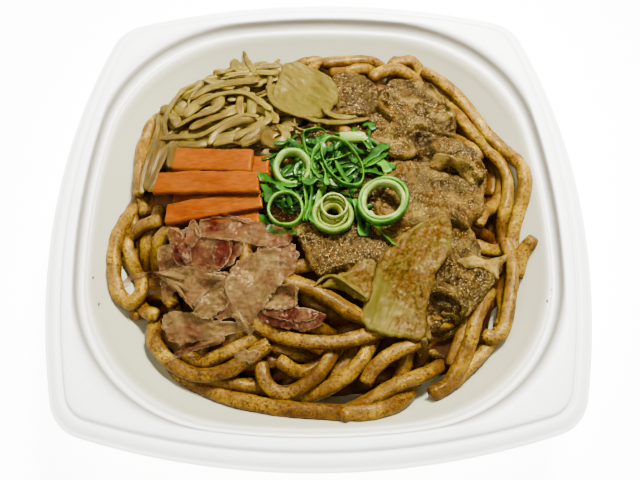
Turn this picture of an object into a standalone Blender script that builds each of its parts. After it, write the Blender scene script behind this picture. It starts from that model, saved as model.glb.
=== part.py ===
# Yaki udon in a white foam tray: thick fried noodles under bean sprouts, carrot
# sticks, sliced pork, cabbage, chopped scallions and bonito flakes.
# Blender units are metres, +Z up, origin under the middle of the tray's foot.
# Every length and place in this script is in millimetres until a mesh is made.

import math
import random

import bmesh
import bpy
import numpy as np

MM = 0.001
GAP = 0.3                   # clearance between pieces that touch

# Tray
SIDE_BULGE = 275            # radius of the four bowed sides
SIDE_STEPS = 8
CORNER_STEPS = 4
# (half width, height, corner radius) from the middle of the bowl up and out to the lip
TRAY_INSIDE = (
    (62, 2.2, 45), (67, 5, 47), (76, 18, 52), (83.2, 29.5, 58), (84.6, 32, 60),
    (87.8, 34.9, 60), (88.4, 35.4, 60), (89.6, 40, 60), (91.4, 40, 11), (92.6, 39.8, 11),
    (94.8, 38.6, 12.5), (97.2, 38.3, 14), (98.5, 37.2, 15), (100, 37, 16.4),
)
# the same section's underside, from the lip back to the foot
TRAY_OUTSIDE = (
    (100, 35.3, 16.4), (97.4, 35.4, 15), (94.6, 36.7, 13.5), (91.5, 38.1, 12),
    (91, 38, 61.5), (90, 34.4, 61.5), (86, 30.5, 61), (77.8, 17, 53.5), (68.4, 3.4, 48.5),
    (63.5, 0.5, 46), (61.5, 0, 45),
)

# The mound of food: height of its upper surface, and how far the bare core lies below
MOUND_TOP = 44
MOUND_HALF = 81
MOUND_SQUARENESS = 2.7
RIM_HEIGHT = 26
RIM_RISE = (1.5, 3)         # extra rim height towards +X and towards +Y
CORE_DEPTH = 6.5
CORE_RINGS = (0.2, 0.4, 0.58, 0.74, 0.87, 0.95)
CORE_STEPS = (6, 2)          # points of the core's outline along a side and round a corner
CORE_SIDE = ((73.5, 17.5, 52), (65.5, 6.5, 47), (58, 2.6, 44))

# Plan grid on which pieces are stacked
CELL = 0.5
GRID_HALF = 92

# Noodles
NOODLE_RADIUS = 2.6
NOODLE_SINK = 1.5           # how far a noodle sits into what it lies on, so that they fuse
SHORTEST_PIECE = 13
STRAND_ROOM = 0.8           # extra radius kept clear of the tray and toppings, for a strand's facets
LONGEST_FACET = 17
SHARPEST_FACET = 0.88        # radians turned between two knots of a strand
# centre lines seen from above, lowest first
NOODLES = (
    ((-59, -59), (-50, -66), (-38, -70.5), (-26, -75), (-12, -77), (2, -77)),
    ((6, -77), (16, -76.5), (25, -75), (31, -71), (33, -64)),
    ((-16, -58), (-6, -61), (6, -60), (16, -57)),
    ((-14, -62), (-7, -66), (0, -64), (6, -59)),
    ((2, -72), (8, -65), (12, -59), (17, -53)),
    ((27, -71), (30, -64), (32, -57), (36, -50)),
    ((-5, -49), (5, -52), (15, -52), (22, -50)),
    ((-42, -68), (-30, -69), (-22, -72), (-13, -76)),
    ((-48, -58), (-42, -61.5), (-34, -60), (-26, -57), (-18, -54)),
    ((16, -70), (20, -64.5), (27, -60), (35, -57)),
    ((-10, -76), (0, -74), (8, -69), (14, -64), (18, -58), (21, -53)),
    ((-20, -63), (-18.5, -69), (-14, -72.5), (-8, -72), (-1, -68), (4, -62), (7, -56)),
    ((7.5, -78), (18, -73.5), (28, -69), (38, -66), (44, -63)),
    ((-23, -49), (-16, -53.5), (-6, -56.5), (6, -57), (16, -55), (27, -52)),
    ((-12, -36), (-4, -38.5), (4, -42.5), (11, -47), (18, -50)),
    ((-56, -43), (-61, -48), (-61.5, -53), (-57, -59), (-49, -64.5), (-40, -67), (-31, -65),
     (-24, -61.5), (-17, -57)),
    ((-67, 4), (-67, -8), (-66.5, -18), (-67.5, -28)),
    ((-61, -2), (-62, -10), (-64.5, -18), (-63, -28)),
    ((-60, -8), (-68, -9), (-74, -13), (-72, -21), (-68, -29)),
    ((-62, -27), (-61, -18), (-57, -14), (-53, -16), (-52, -24)),
    ((-68, -44), (-62, -38), (-56, -38), (-51, -43)),
    ((-58, -45), (-63, -43), (-68, -37)),
    ((-70, 6), (-76.5, -4), (-79, -14), (-78, -26), (-75, -34.5), (-69.5, -39), (-65.5, -36),
     (-66, -29)),
    ((-64, 22), (-68, 14), (-69, 5), (-67, -4)),
    ((-69, 49), (-72, 42), (-73, 33), (-72.5, 24), (-72, 14), (-71, 5)),
    ((-57, 62), (-51, 66.5), (-45, 66), (-41, 62)),
    ((5, 72), (6, 66), (8, 60)),
    ((8, 69), (15, 67.5), (21, 69.5), (25, 66), (26, 60)),
    ((16, 70), (20, 73), (25, 71), (31, 67)),
    ((32, 66), (35, 72.5), (41, 75), (47, 71.5), (50, 66), (52, 60)),
    ((23, 58), (28, 63), (35, 65.5), (41, 62.5), (46, 58)),
    ((54, 44), (58, 35), (63, 28), (69, 22), (73, 14), (72.5, 6), (69, -1), (63, -7), (60, -13)),
    ((50, 58), (55, 50), (59.5, 40), (64, 32), (70, 25), (75, 17), (76, 9), (74, 0), (70.5, -10),
     (71, -20)),
    ((46, 66), (53, 60), (59, 52), (64, 43), (69, 34), (75, 27), (81, 21), (83, 14), (82, 6),
     (78.5, -4), (75, -14), (74, -26), (71, -36)),
    ((83, -14), (79, -19), (76, -25), (74, -32)),
    ((58, -20), (64, -21.5), (70, -20)),
    ((46, -70), (54, -63), (61, -56), (66, -49)),
    ((36, -50), (43, -50.5), (50, -49), (55, -45)),
    ((71, -16), (73, -26), (71, -36), (69, -44), (67, -50), (63, -53.5), (58, -52)),
    ((46, -64), (49, -58), (52, -51), (54, -45)),
    ((39, -73), (45, -70), (50, -63), (53.5, -56), (56, -49), (59.5, -42), (63, -36)),
)

# Bean sprouts: a low heap of its own at the back left
SPROUT_RADIUS = 1.5
SPROUT_SINK = 0.9
SPROUT_BED = 3.6            # thickness of the heap's core
SPROUT_AROUND = 20
SPROUT_OUTLINE = (
    (-66, 50), (-58, 59), (-49, 64), (-38, 69), (-25, 69), (-16, 67), (-18, 58), (-21, 50),
    (-18, 41), (-12, 33), (-12, 27), (-19, 23), (-29, 23.5), (-42, 27), (-56, 28), (-63, 33),
    (-67, 41),
)
SPROUTS = (
    ((-62, 29), (-66, 38), (-66, 46), (-61, 55)),
    ((-58, 52), (-54, 44), (-56, 36), (-61, 31)),
    ((-40, 60), (-30, 64), (-17, 64)),
    ((-36, 54), (-38, 46), (-43, 39), (-50, 34)),
    ((-30, 52), (-29, 41), (-32, 31)),
    ((-44, 62), (-36, 68), (-26, 67.5), (-17, 67)),
    ((-60, 33), (-54, 38), (-47, 42), (-43, 46), (-46, 49)),
    ((-31, 25), (-27, 29), (-22, 33), (-19, 39)),
    ((-42, 28), (-37, 32), (-29, 34), (-22, 33)),
    ((-54, 49), (-47, 55), (-37, 58), (-24, 58.5)),
    ((-65, 32), (-57, 31), (-50, 29.5), (-44, 31), (-37, 35), (-30, 38), (-24, 37)),
    ((-33, 76), (-31, 72), (-28, 67), (-26, 61)),
    ((-13, 34), (-14, 29), (-16.5, 24.5), (-19, 27), (-18, 32), (-21, 37)),
)

# Thin pieces: name, outline from above, thickness, wave height
SHEETS = (
    ("pork_1", ((6, 61.5), (13, 63.5), (20, 62), (25.5, 56), (26.5, 47), (23.5, 38), (18, 34),
                (10.5, 36), (8.5, 47), (5.5, 55)), 3.4, 1.8),
    ("pork_2", ((27, 47), (29, 54), (35, 58.5), (43, 59), (50, 55), (55.5, 46), (57, 34),
                (51, 28), (43, 30.5), (36, 28), (28.5, 35)), 3.4, 2.4),
    ("pork_4", ((16, 3.5), (25, 9.5), (33, 14.5), (42, 16.5), (50, 19), (59, 15.5), (66, 9.5), (65.5, 1.5),
                (62, -6.5), (56, -12.5), (47, -11.5), (40, -13.5), (33, -15), (25, -11.5), (18, -7.5)),
     3.4, 1.6),
    ("pork_3", ((44.5, 18.5), (48.5, 25), (56.5, 26.5), (63.5, 23.5), (68.5, 17.5), (67, 10), (57.5, 11.5),
                (49.5, 14)), 3.2, 1.6),
    ("pork_5", ((16.5, 23.5), (21.5, 29.5), (28.5, 30.5), (35.5, 28), (37.5, 20.5), (31.5, 16), (22.5, 13.5)), 3.0, 1.0),
    ("pork_6", ((-11, -16), (-6, -10), (4, -8), (13, -12), (22, -18), (27, -22), (24, -27),
                (14, -30), (6, -32.5), (-1, -36.5), (-6, -31), (-9, -24)), 3.4, 1.4),
    ("pork_7", ((37.5, -29.5), (45.5, -19.5), (55.5, -14), (61.5, -18.5), (69.5, -23), (66.5, -30.5), (64.5, -36.5),
                (56.5, -40.5), (52.5, -45.5), (44.5, -44.5), (38.5, -39.5)), 3.4, 2.2),
    ("cabbage_1", ((50, -9.5), (44, -9.5), (37, -14), (30, -19.5), (24, -27), (19.5, -36),
                   (16.5, -45), (15, -52), (22, -55), (30, -54), (37, -57), (39, -54), (37, -46),
                   (36, -36), (40, -27), (46, -19), (51, -14)), 1.8, 1.6),
    ("cabbage_2", ((-13, 70), (-17, 60), (-19.5, 50), (-16, 41.5), (-8, 36), (0, 32), (6, 31.5),
                   (8.5, 36), (7.5, 46), (4.5, 56), (3, 65), (-5, 69)), 1.8, 2.2),
    ("cabbage_3", ((4, -35), (12, -32), (20, -30), (18.5, -36), (16, -42), (10, -39.5),
                   (3, -38.5)), 1.4, 1.2),
)

# Carrot sticks: middle, length, width, turn in degrees
CARROT_THICKNESS = 2.4
CARROT_TILT = 8             # degrees, down towards the rim
CARROTS = (
    ("carrot_1", (-37.5, -8), 33, 7, -5),
    ("carrot_2", (-38.5, 3), 36, 6.5, 2),
    ("carrot_3", (-33.5, 14.5), 31, 9, -6),
    ("carrot_4", (-39, -5), 38, 9.5, 6),
    ("carrot_5", (-41, 17), 33, 9.8, -7),
    ("carrot_6", (-42, 5), 42, 8.8, -4),
)

# Scallion rings: middle, radius, squash across, wall, height, lean in degrees, leaning towards
RINGS = (
    ("scallion_1", (-9.5, 9), 7.4, 0.95, 2.2, 3.2, 12, 270),
    ("scallion_2", (-11.5, -10), 6.5, 1.0, 1.0, 2.8, 8, 250),
    ("scallion_4", (5.5, -11.5), 7.0, 1.0, 2.6, 3.0, 4, 200),
    ("scallion_3", (24, -7.5), 9.5, 0.95, 2.4, 3.0, 5, 230),
    ("scallion_5", (6, -10), 4.7, 1.0, 1.0, 2.4, 6, 270),
    ("scallion_6", (9.5, 11), 10.5, 0.62, 1.0, 2.2, 24, 190),
    ("scallion_7", (14.5, 23.5), 2.4, 1.0, 1.2, 10, 86, 0),
)
RING_STEPS = 12
# Green slivers: middle, length, width, turn in degrees, arch height
SLIVERS = (
    ("scallion_8", (-14.5, 3.5), 12, 4, -25, 1.2),
    ("scallion_9", (-13, -16.5), 12, 3.6, -18, 1.2),
    ("scallion_10", (22.5, 11), 13, 4, 48, 1.2),
    ("scallion_11", (15.5, -17), 9, 3.6, -76, 1.0),
    ("scallion_12", (22.5, -21), 10, 3, -60, 1.0),
    ("scallion_13", (-3, 23), 11, 4, 10, 1.4),
    ("scallion_14", (-1.5, 2.5), 12, 3.6, 78, 1.2),
)
SLIVER_THICKNESS = 0.8
SLIVER_STEPS = 5

# Bonito flakes: outline from above, curl at the rim
FLAKE_THICKNESS = 0.6
FLAKES = (
    ("bonito_1", ((-57, -45), (-48, -45), (-39, -46.5), (-30, -50), (-37, -54.5), (-49, -58),
                  (-55, -52)), 1.0),
    ("bonito_2", ((-58, -29.5), (-51, -27.5), (-44, -29.5), (-40, -34.5), (-46, -42), (-53, -37)), 2.0),
    ("bonito_3", ((-49, -17), (-41, -19.5), (-34, -22), (-33, -28), (-38, -32), (-47, -27.5)), 1.2),
    ("bonito_4", ((-46.5, -12), (-34.5, -13), (-22.5, -13), (-14.5, -17.5), (-23.5, -22.5), (-34.5, -18.5),
                  (-44.5, -16.5)), 1.2),
    ("bonito_5", ((-20, -45), (-10, -43.5), (-1, -45.5), (-5, -49), (-14, -49)), 1.0),
    ("bonito_6", ((-18.5, -36.5), (-9, -35.5), (-8.5, -42.5), (-17.5, -43)), 0.8),
    ("bonito_7", ((-44.5, -42), (-38.5, -39.5), (-32.5, -42), (-39, -47)), 1.4),
    ("bonito_8", ((-16.5, -23.5), (-27.5, -28), (-34.5, -38), (-30.5, -43), (-26, -49), (-20.5, -44),
                  (-15.5, -38), (-13.5, -30)), 2.4),
)

SHEET_AROUND = 16
SHEET_RINGS = (0.38, 0.72, 1.0)
FLAKE_AROUND = 10
FLAKE_RINGS = (0.55, 1.0)

AXIS = np.arange(-GRID_HALF, GRID_HALF + CELL / 2, CELL)
CELLS = len(AXIS)


def clear_scene():
    for old in list(bpy.data.objects):
        bpy.data.objects.remove(old, do_unlink=True)


def make_material(name, colour, roughness, coat=0.0):
    material = bpy.data.materials.new(name)
    material.use_nodes = True
    shader = material.node_tree.nodes["Principled BSDF"]
    shader.inputs["Base Color"].default_value = (*colour, 1)
    shader.inputs["Roughness"].default_value = roughness
    shader.inputs["Metallic"].default_value = 0
    shader.inputs["Coat Weight"].default_value = coat
    material.diffuse_color = (*colour, 1)
    return material


def add_object(name, data, collection, material):
    piece = bpy.data.objects.new(name, data)
    data.materials.append(material)
    collection.objects.link(piece)
    return piece


def mesh_from(name, points, faces):
    mesh = bpy.data.meshes.new(name)
    mesh.from_pydata([tuple(float(v) * MM for v in point) for point in points], [], faces)
    work = bmesh.new()
    work.from_mesh(mesh)
    if all(len(edge.link_faces) == 2 for edge in work.edges):
        bmesh.ops.recalc_face_normals(work, faces=work.faces)
    work.to_mesh(mesh)
    work.free()
    return mesh


# ---- outlines and curves seen from above

def bowed_square(half, corner, side_steps=SIDE_STEPS, corner_steps=CORNER_STEPS):
    """A square outline with bowed sides and round corners."""
    reach = SIDE_BULGE - half
    inner = SIDE_BULGE - corner
    middle = (math.sqrt(2 * inner ** 2 - reach ** 2) - reach) / 2
    turn = math.atan2(middle, middle + reach)
    quarter = []
    for step in range(side_steps):
        angle = turn * (2 * step / side_steps - 1)
        quarter.append((SIDE_BULGE * math.cos(angle) - reach, SIDE_BULGE * math.sin(angle)))
    for step in range(corner_steps):
        angle = turn + (math.pi / 2 - 2 * turn) * step / corner_steps
        quarter.append((middle + corner * math.cos(angle), middle + corner * math.sin(angle)))
    outline = []
    for cos, sin in ((1, 0), (0, 1), (-1, 0), (0, -1)):
        outline += [(cos * x - sin * y, sin * x + cos * y) for x, y in quarter]
    return outline


def spline(points, closed, spacing=None, count=None):
    """Evenly spaced points on a smooth curve through the given ones."""
    given = np.array(points, dtype=float)
    if closed:
        padded = np.vstack((given[-1:], given, given[:2]))
    else:
        padded = np.vstack((2 * given[0] - given[1], given, 2 * given[-1] - given[-2]))
    dense = []
    for a, b, c, d in zip(padded, padded[1:], padded[2:], padded[3:]):
        for t in np.linspace(0, 1, 16, endpoint=False):
            dense.append(0.5 * (2 * b + (c - a) * t + (2 * a - 5 * b + 4 * c - d) * t ** 2
                                + (3 * b - a - 3 * c + d) * t ** 3))
    dense.append(given[0] if closed else given[-1])
    dense = np.array(dense)
    along = np.concatenate(([0], np.cumsum(np.hypot(*np.diff(dense, axis=0).T))))
    if count is None:
        count = max(3, round(along[-1] / spacing) + 1)
    places = np.linspace(0, along[-1], count, endpoint=not closed)
    return np.stack([np.interp(places, along, dense[:, k]) for k in (0, 1)], 1)


def core_height(x, y):
    """Height of the bare core of noodles under the mound's surface."""
    out = ((abs(x) / MOUND_HALF) ** MOUND_SQUARENESS
           + (abs(y) / MOUND_HALF) ** MOUND_SQUARENESS) ** (1 / MOUND_SQUARENESS)
    rim = RIM_HEIGHT + RIM_RISE[0] * x / MOUND_HALF + RIM_RISE[1] * y / MOUND_HALF
    return rim + (MOUND_TOP - rim) * (1 - out ** 2.3) - CORE_DEPTH


# ---- stacking on the plan grid

def cells_under(a, b, c):
    """The grid window of a triangle, the cells in it and the triangle's height there."""
    low = np.minimum(np.minimum(a, b), c)[:2]
    high = np.maximum(np.maximum(a, b), c)[:2]
    i0, j0 = np.clip(np.ceil((low + GRID_HALF) / CELL).astype(int), 0, CELLS)
    i1, j1 = np.clip(np.floor((high + GRID_HALF) / CELL).astype(int) + 1, 0, CELLS)
    area = (b[0] - a[0]) * (c[1] - a[1]) - (b[1] - a[1]) * (c[0] - a[0])
    if i1 <= i0 or j1 <= j0 or abs(area) < 1e-9:
        return None
    x = AXIS[i0:i1, None] - a[0]
    y = AXIS[None, j0:j1] - a[1]
    v = (x * (c[1] - a[1]) - y * (c[0] - a[0])) / area
    w = (y * (b[0] - a[0]) - x * (b[1] - a[1])) / area
    inside = (v >= -1e-6) & (w >= -1e-6) & (v + w <= 1 + 1e-6)
    if not inside.any():
        return None
    return (slice(i0, i1), slice(j0, j1)), inside, a[2] + v * (b[2] - a[2]) + w * (c[2] - a[2])


def triangles_of(piece):
    """A finished object's triangles in millimetres."""
    bpy.context.view_layer.update()
    held = piece.evaluated_get(bpy.context.evaluated_depsgraph_get())
    mesh = held.to_mesh()
    mesh.calc_loop_triangles()
    points = np.array([tuple(piece.matrix_world @ v.co) for v in mesh.vertices]) / MM
    corners = [tuple(triangle.vertices) for triangle in mesh.loop_triangles]
    held.to_mesh_clear()
    return points, corners


def faces_seen(piece):
    """Lowest and highest surface of an object over each cell of the grid."""
    low = np.full((CELLS, CELLS), np.inf)
    top = np.full((CELLS, CELLS), -np.inf)
    points, corners = triangles_of(piece)
    for corner in corners:
        found = cells_under(*points[list(corner)])
        if found:
            window, inside, height = found
            low[window] = np.where(inside, np.minimum(low[window], height), low[window])
            top[window] = np.where(inside, np.maximum(top[window], height), top[window])
    return low, top


def ball_offsets(radius):
    reach = int(radius / CELL)
    for i in range(-reach, reach + 1):
        for j in range(-reach, reach + 1):
            rest = radius ** 2 - (i * i + j * j) * CELL ** 2
            if rest >= 0:
                yield i, j, math.sqrt(rest)


def rolled(ground, radius):
    """Lowest height at which the middle of a ball of this radius clears the ground."""
    result = np.full_like(ground, -np.inf)
    for i, j, rest in ball_offsets(radius):
        result = np.maximum(result, np.roll(ground, (i, j), (0, 1)) + rest)
    return result


def spread(ground):
    """The ground widened by two cells, as room for slopes and rims between cells."""
    result = ground
    for axis in (0, 1):
        result = np.max([np.roll(result, shift, axis) for shift in (-2, -1, 0, 1, 2)], axis=0)
    return result


def read_grid(grid, places):
    index = np.clip(np.rint((places + GRID_HALF) / CELL).astype(int), 0, CELLS - 1)
    return grid[index[:, 0], index[:, 1]]


class Heap:
    """Everything laid so far: the ground for the next piece, and the undersides above noodles."""

    def __init__(self, ground):
        self.ground = ground
        self.underside = np.full((CELLS, CELLS), np.inf)

    def add(self, piece):
        low, top = faces_seen(piece)
        self.ground = np.maximum(self.ground, top)
        self.underside = np.minimum(self.underside, low)

    def settle(self, piece):
        """Lower a stiff piece on to the heap and add it."""
        low, _ = faces_seen(piece)
        covered = np.isfinite(low)
        lift = (spread(self.ground)[covered] - low[covered]).max() + GAP
        piece.location.z += lift * MM
        self.add(piece)


# ---- pieces

def ring_loft(name, rings, collection, material):
    """A closed body through rings of equally many points, capped at both ends."""
    count = len(rings[0])
    points = [point for ring in rings for point in ring]
    faces = [tuple(reversed(range(count)))]
    for level in range(len(rings) - 1):
        for k in range(count):
            a = level * count + k
            b = level * count + (k + 1) % count
            faces.append((a, b, b + count, a + count))
    faces.append(tuple(range(len(points) - count, len(points))))
    return add_object(name, mesh_from(name, points, faces), collection, material)


def make_tray(collection, material):
    rings = []
    for half, height, corner in TRAY_INSIDE + TRAY_OUTSIDE:
        rings.append([(x, y, height) for x, y in bowed_square(half, corner)])
    return ring_loft("tray", rings, collection, material)


def make_core(collection, material):
    """The noodle heap's core: up the bowl's wall, then over the mound."""
    edge = np.array(bowed_square(CORE_SIDE[0][0], CORE_SIDE[0][2], *CORE_STEPS))
    rings = []
    for half, height, corner in reversed(CORE_SIDE):
        rings.append([(x, y, height) for x, y in bowed_square(half, corner, *CORE_STEPS)])
    for share in reversed(CORE_RINGS):
        rings.append([(x, y, core_height(x, y)) for x, y in edge * share])
    return ring_loft("noodles", rings, collection, material)


def sheet_plan(outline, around, shares):
    """Plan points and triangles of a fan of rings inside an outline."""
    edge = spline(outline, closed=True, count=around)
    middle = edge.mean(axis=0)
    ahead = np.roll(edge, -1, axis=0)
    if (edge[:, 0] * ahead[:, 1] - edge[:, 1] * ahead[:, 0]).sum() < 0:
        edge = edge[::-1]
    places = [middle]
    for share in shares:
        places += list(middle + (edge - middle) * share)
    triangles = [(0, 1 + k, 1 + (k + 1) % around) for k in range(around)]
    for ring in range(len(shares) - 1):
        for k in range(around):
            a = 1 + ring * around + k
            b = 1 + ring * around + (k + 1) % around
            triangles += [(a, a + around, b + around), (a, b + around, b)]
    return np.array(places), triangles


def drape(places, triangles, ground):
    """Heights that let a limp sheet lie on the ground without cutting into it."""
    room = spread(ground) + GAP
    points = np.column_stack((places, read_grid(room, places)))
    links = {k: set() for k in range(len(points))}
    for triangle in triangles:
        for corner in triangle:
            links[corner].update(triangle)
    for turn in range(16):
        if turn < 8:
            points[:, 2] = [points[list(links[k]), 2].mean() for k in range(len(points))]
        lift = np.zeros(len(points))
        for triangle in triangles:
            found = cells_under(*points[list(triangle)])
            if found:
                window, inside, height = found
                need = (room[window] - height)[inside].max()
                lift[list(triangle)] = np.maximum(lift[list(triangle)], need)
        points[:, 2] += lift
        if turn > 8 and lift.max() < 1e-6:
            break
    return points


def make_sheet(name, outline, thickness, wave, grid, heap, collection, material):
    """A thin wavy piece draped on the heap: an open surface given its thickness by Solidify."""
    around, shares = grid
    chance = random.Random(name)
    places, triangles = sheet_plan(outline, around, shares)
    points = drape(places, triangles, heap.ground)
    phase = chance.uniform(0, math.tau)
    lobes = chance.choice((2, 3))
    middle = places[0]
    for k, (x, y) in enumerate(places):
        ring = 0 if k == 0 else shares[(k - 1) // around]
        angle = math.atan2(y - middle[1], x - middle[0])
        ripple = 0.5 + 0.5 * math.sin(lobes * angle + phase)
        points[k, 2] += wave * (ripple * ring ** 2 + 0.35 * (1 - ring))
    piece = add_object(name, mesh_from(name, points, triangles), collection, material)
    solid = piece.modifiers.new("Thickness", 'SOLIDIFY')
    solid.thickness = thickness * MM
    solid.offset = 1
    heap.add(piece)
    return piece


def tube(name, path, radius, collection, material):
    """A round strand along a path, as a welded mesh."""
    curve = bpy.data.curves.new(name, 'CURVE')
    curve.dimensions = '3D'
    curve.bevel_depth = radius * MM
    curve.bevel_resolution = 1
    curve.use_fill_caps = True
    line = curve.splines.new('POLY')
    line.points.add(len(path) - 1)
    for knot, place in zip(line.points, path):
        knot.co = (*(float(v) * MM for v in place), 1)
    guide = bpy.data.objects.new(name + "_line", curve)
    collection.objects.link(guide)
    bpy.context.view_layer.update()
    held = guide.evaluated_get(bpy.context.evaluated_depsgraph_get())
    mesh = bpy.data.meshes.new_from_object(held)
    bpy.data.objects.remove(guide, do_unlink=True)
    work = bmesh.new()
    work.from_mesh(mesh)
    bmesh.ops.remove_doubles(work, verts=work.verts, dist=0.00001)
    bmesh.ops.recalc_face_normals(work, faces=work.faces)
    work.to_mesh(mesh)
    work.free()
    return add_object(name, mesh, collection, material)


def longest_run(free):
    """Start and end of the longest stretch of true values."""
    best = (0, 0)
    start = None
    for k, value in enumerate([*free, False]):
        if value and start is None:
            start = k
        if not value and start is not None:
            if k - start > best[1] - best[0]:
                best = (start, k)
            start = None
    return best


def knots(line):
    """A few of a line's points, closer together where it bends."""
    legs = np.diff(line, axis=0)
    length = np.linalg.norm(legs, axis=1)
    heading = legs / length[:, None]
    turned = np.arccos(np.clip((heading[:-1] * heading[1:]).sum(axis=1), -1, 1))
    cost = length / LONGEST_FACET + np.append(turned, 0) / SHARPEST_FACET
    along = np.concatenate(([0], np.cumsum(cost)))
    wanted = np.linspace(0, along[-1], max(3, math.ceil(along[-1]) + 1))
    return line[np.rint(np.interp(wanted, along, range(len(line)))).astype(int)]


def lay_strands(layout, radius, sink, walls, bed, ceiling):
    """Paths of strands that lie on the bed and on each other, clear of walls and of what is above."""
    against = rolled(walls, radius + STRAND_ROOM)
    below = -rolled(-ceiling, radius + STRAND_ROOM)
    ground = bed.copy()
    paths = []
    for points in layout:
        places = spline(points, closed=False, spacing=1.0)
        resting = np.maximum(read_grid(rolled(ground, radius) - sink, places),
                             read_grid(against, places))
        height = resting.copy()
        for _ in range(60):
            padded = np.pad(height, 2, mode='edge')
            height = np.maximum(resting, (padded[:-4] + padded[1:-3] + padded[2:-2] + padded[3:-1]
                                          + padded[4:]) / 5 - 0.05)
        free = height < read_grid(below, places)
        first, last = longest_run(free)
        if last - first < SHORTEST_PIECE:
            continue
        line = np.column_stack((places, height))[first:last]
        paths.append(knots(line))
        for x, y, z in line:
            i, j = np.rint((np.array((x, y)) + GRID_HALF) / CELL).astype(int)
            for di, dj, rest in ball_offsets(radius):
                ground[i + di, j + dj] = max(ground[i + di, j + dj], z + rest)
    return paths


def fuse(core, strands):
    """Join strands to their core in one union, and keep its one outer body."""
    extra = bpy.data.collections.new(core.name + "_strands")
    bpy.context.scene.collection.children.link(extra)
    for strand in strands:
        for owner in list(strand.users_collection):
            owner.objects.unlink(strand)
        extra.objects.link(strand)
    union = core.modifiers.new("Fuse", 'BOOLEAN')
    union.operation = 'UNION'
    union.operand_type = 'COLLECTION'
    union.collection = extra
    union.solver = 'MANIFOLD'
    bpy.context.view_layer.update()
    held = core.evaluated_get(bpy.context.evaluated_depsgraph_get())
    joined = bpy.data.meshes.new_from_object(held)
    core.modifiers.clear()
    core.data = joined
    for strand in strands:
        bpy.data.objects.remove(strand, do_unlink=True)
    bpy.data.collections.remove(extra)
    keep_outer_body(joined)


def keep_outer_body(mesh):
    """Drop sealed hollows and loose scraps from a joined mesh."""
    work = bmesh.new()
    work.from_mesh(mesh)
    bmesh.ops.remove_doubles(work, verts=work.verts, dist=0.000002)
    bmesh.ops.triangulate(work, faces=work.faces)
    bodies = []
    unseen = set(work.faces)
    while unseen:
        body = set()
        waiting = [unseen.pop()]
        while waiting:
            face = waiting.pop()
            body.add(face)
            for edge in face.edges:
                for other in edge.link_faces:
                    if other in unseen:
                        unseen.remove(other)
                        waiting.append(other)
        bodies.append(body)
    largest = max(bodies, key=len)
    scraps = [face for body in bodies if body is not largest for face in body]
    bmesh.ops.delete(work, geom=scraps, context='FACES')
    loose = [vert for vert in work.verts if not vert.link_faces]
    bmesh.ops.delete(work, geom=loose, context='VERTS')
    work.to_mesh(mesh)
    work.free()


def make_carrot(name, middle, length, width, turn, heap, collection, material):
    """A stick cut from a carrot: a thin box with one slanted side and eased edges."""
    work = bmesh.new()
    bmesh.ops.create_cube(work, size=1)
    for vert in work.verts:
        vert.co.x *= (length - (1.5 if vert.co.y > 0 else 0)) * MM
        vert.co.y *= (width - (1.2 if vert.co.z > 0 else 0)) * MM
        vert.co.z *= CARROT_THICKNESS * MM
    mesh = bpy.data.meshes.new(name)
    work.to_mesh(mesh)
    work.free()
    piece = add_object(name, mesh, collection, material)
    ease = piece.modifiers.new("Eased edges", 'BEVEL')
    ease.width = 0.45 * MM
    ease.segments = 1
    piece.location = (middle[0] * MM, middle[1] * MM, 0)
    piece.rotation_euler = (0, -math.radians(CARROT_TILT), math.radians(turn))
    heap.settle(piece)
    return piece


def make_ring(name, middle, radius, squash, wall, height, lean, towards, heap, collection, material):
    """A slice across a scallion: a turned section, leaning on the pile."""
    section = ((radius, height / 2), (radius, -height / 2),
               (radius - wall, -height / 2), (radius - wall, height / 2))
    points = [(x, 0, z) for x, z in section]
    mesh = bpy.data.meshes.new(name)
    mesh.from_pydata([tuple(v * MM for v in point) for point in points],
                     [(0, 1), (1, 2), (2, 3), (3, 0)], [])
    piece = add_object(name, mesh, collection, material)
    screw = piece.modifiers.new("Turn", 'SCREW')
    screw.steps = RING_STEPS
    screw.render_steps = RING_STEPS
    screw.use_merge_vertices = True
    screw.merge_threshold = 0.00001
    piece.scale = (1, squash, 1)
    piece.location = (middle[0] * MM, middle[1] * MM, 0)
    piece.rotation_euler = (0, math.radians(lean), math.radians(towards))
    heap.settle(piece)
    return piece


def make_sliver(name, middle, length, width, turn, arch, heap, collection, material):
    """A strip of green leaf, arched along its length and cupped across."""
    points = []
    faces = []
    steps = SLIVER_STEPS
    for step in range(steps + 1):
        t = 2 * step / steps - 1
        taper = math.sqrt(1 - 0.75 * t * t)
        for side in (-1, 0, 1):
            points.append((t * length / 2, side * width / 2 * taper,
                           arch * (1 - t * t) - 0.7 * (1 - abs(side))))
    for step in range(steps):
        for side in (0, 1):
            a = step * 3 + side
            faces += [(a, a + 3, a + 4), (a, a + 4, a + 1)]
    piece = add_object(name, mesh_from(name, points, faces), collection, material)
    solid = piece.modifiers.new("Thickness", 'SOLIDIFY')
    solid.thickness = SLIVER_THICKNESS * MM
    solid.offset = 1
    piece.location = (middle[0] * MM, middle[1] * MM, 0)
    piece.rotation_euler = (0, 0, math.radians(turn))
    heap.settle(piece)
    return piece


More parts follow.
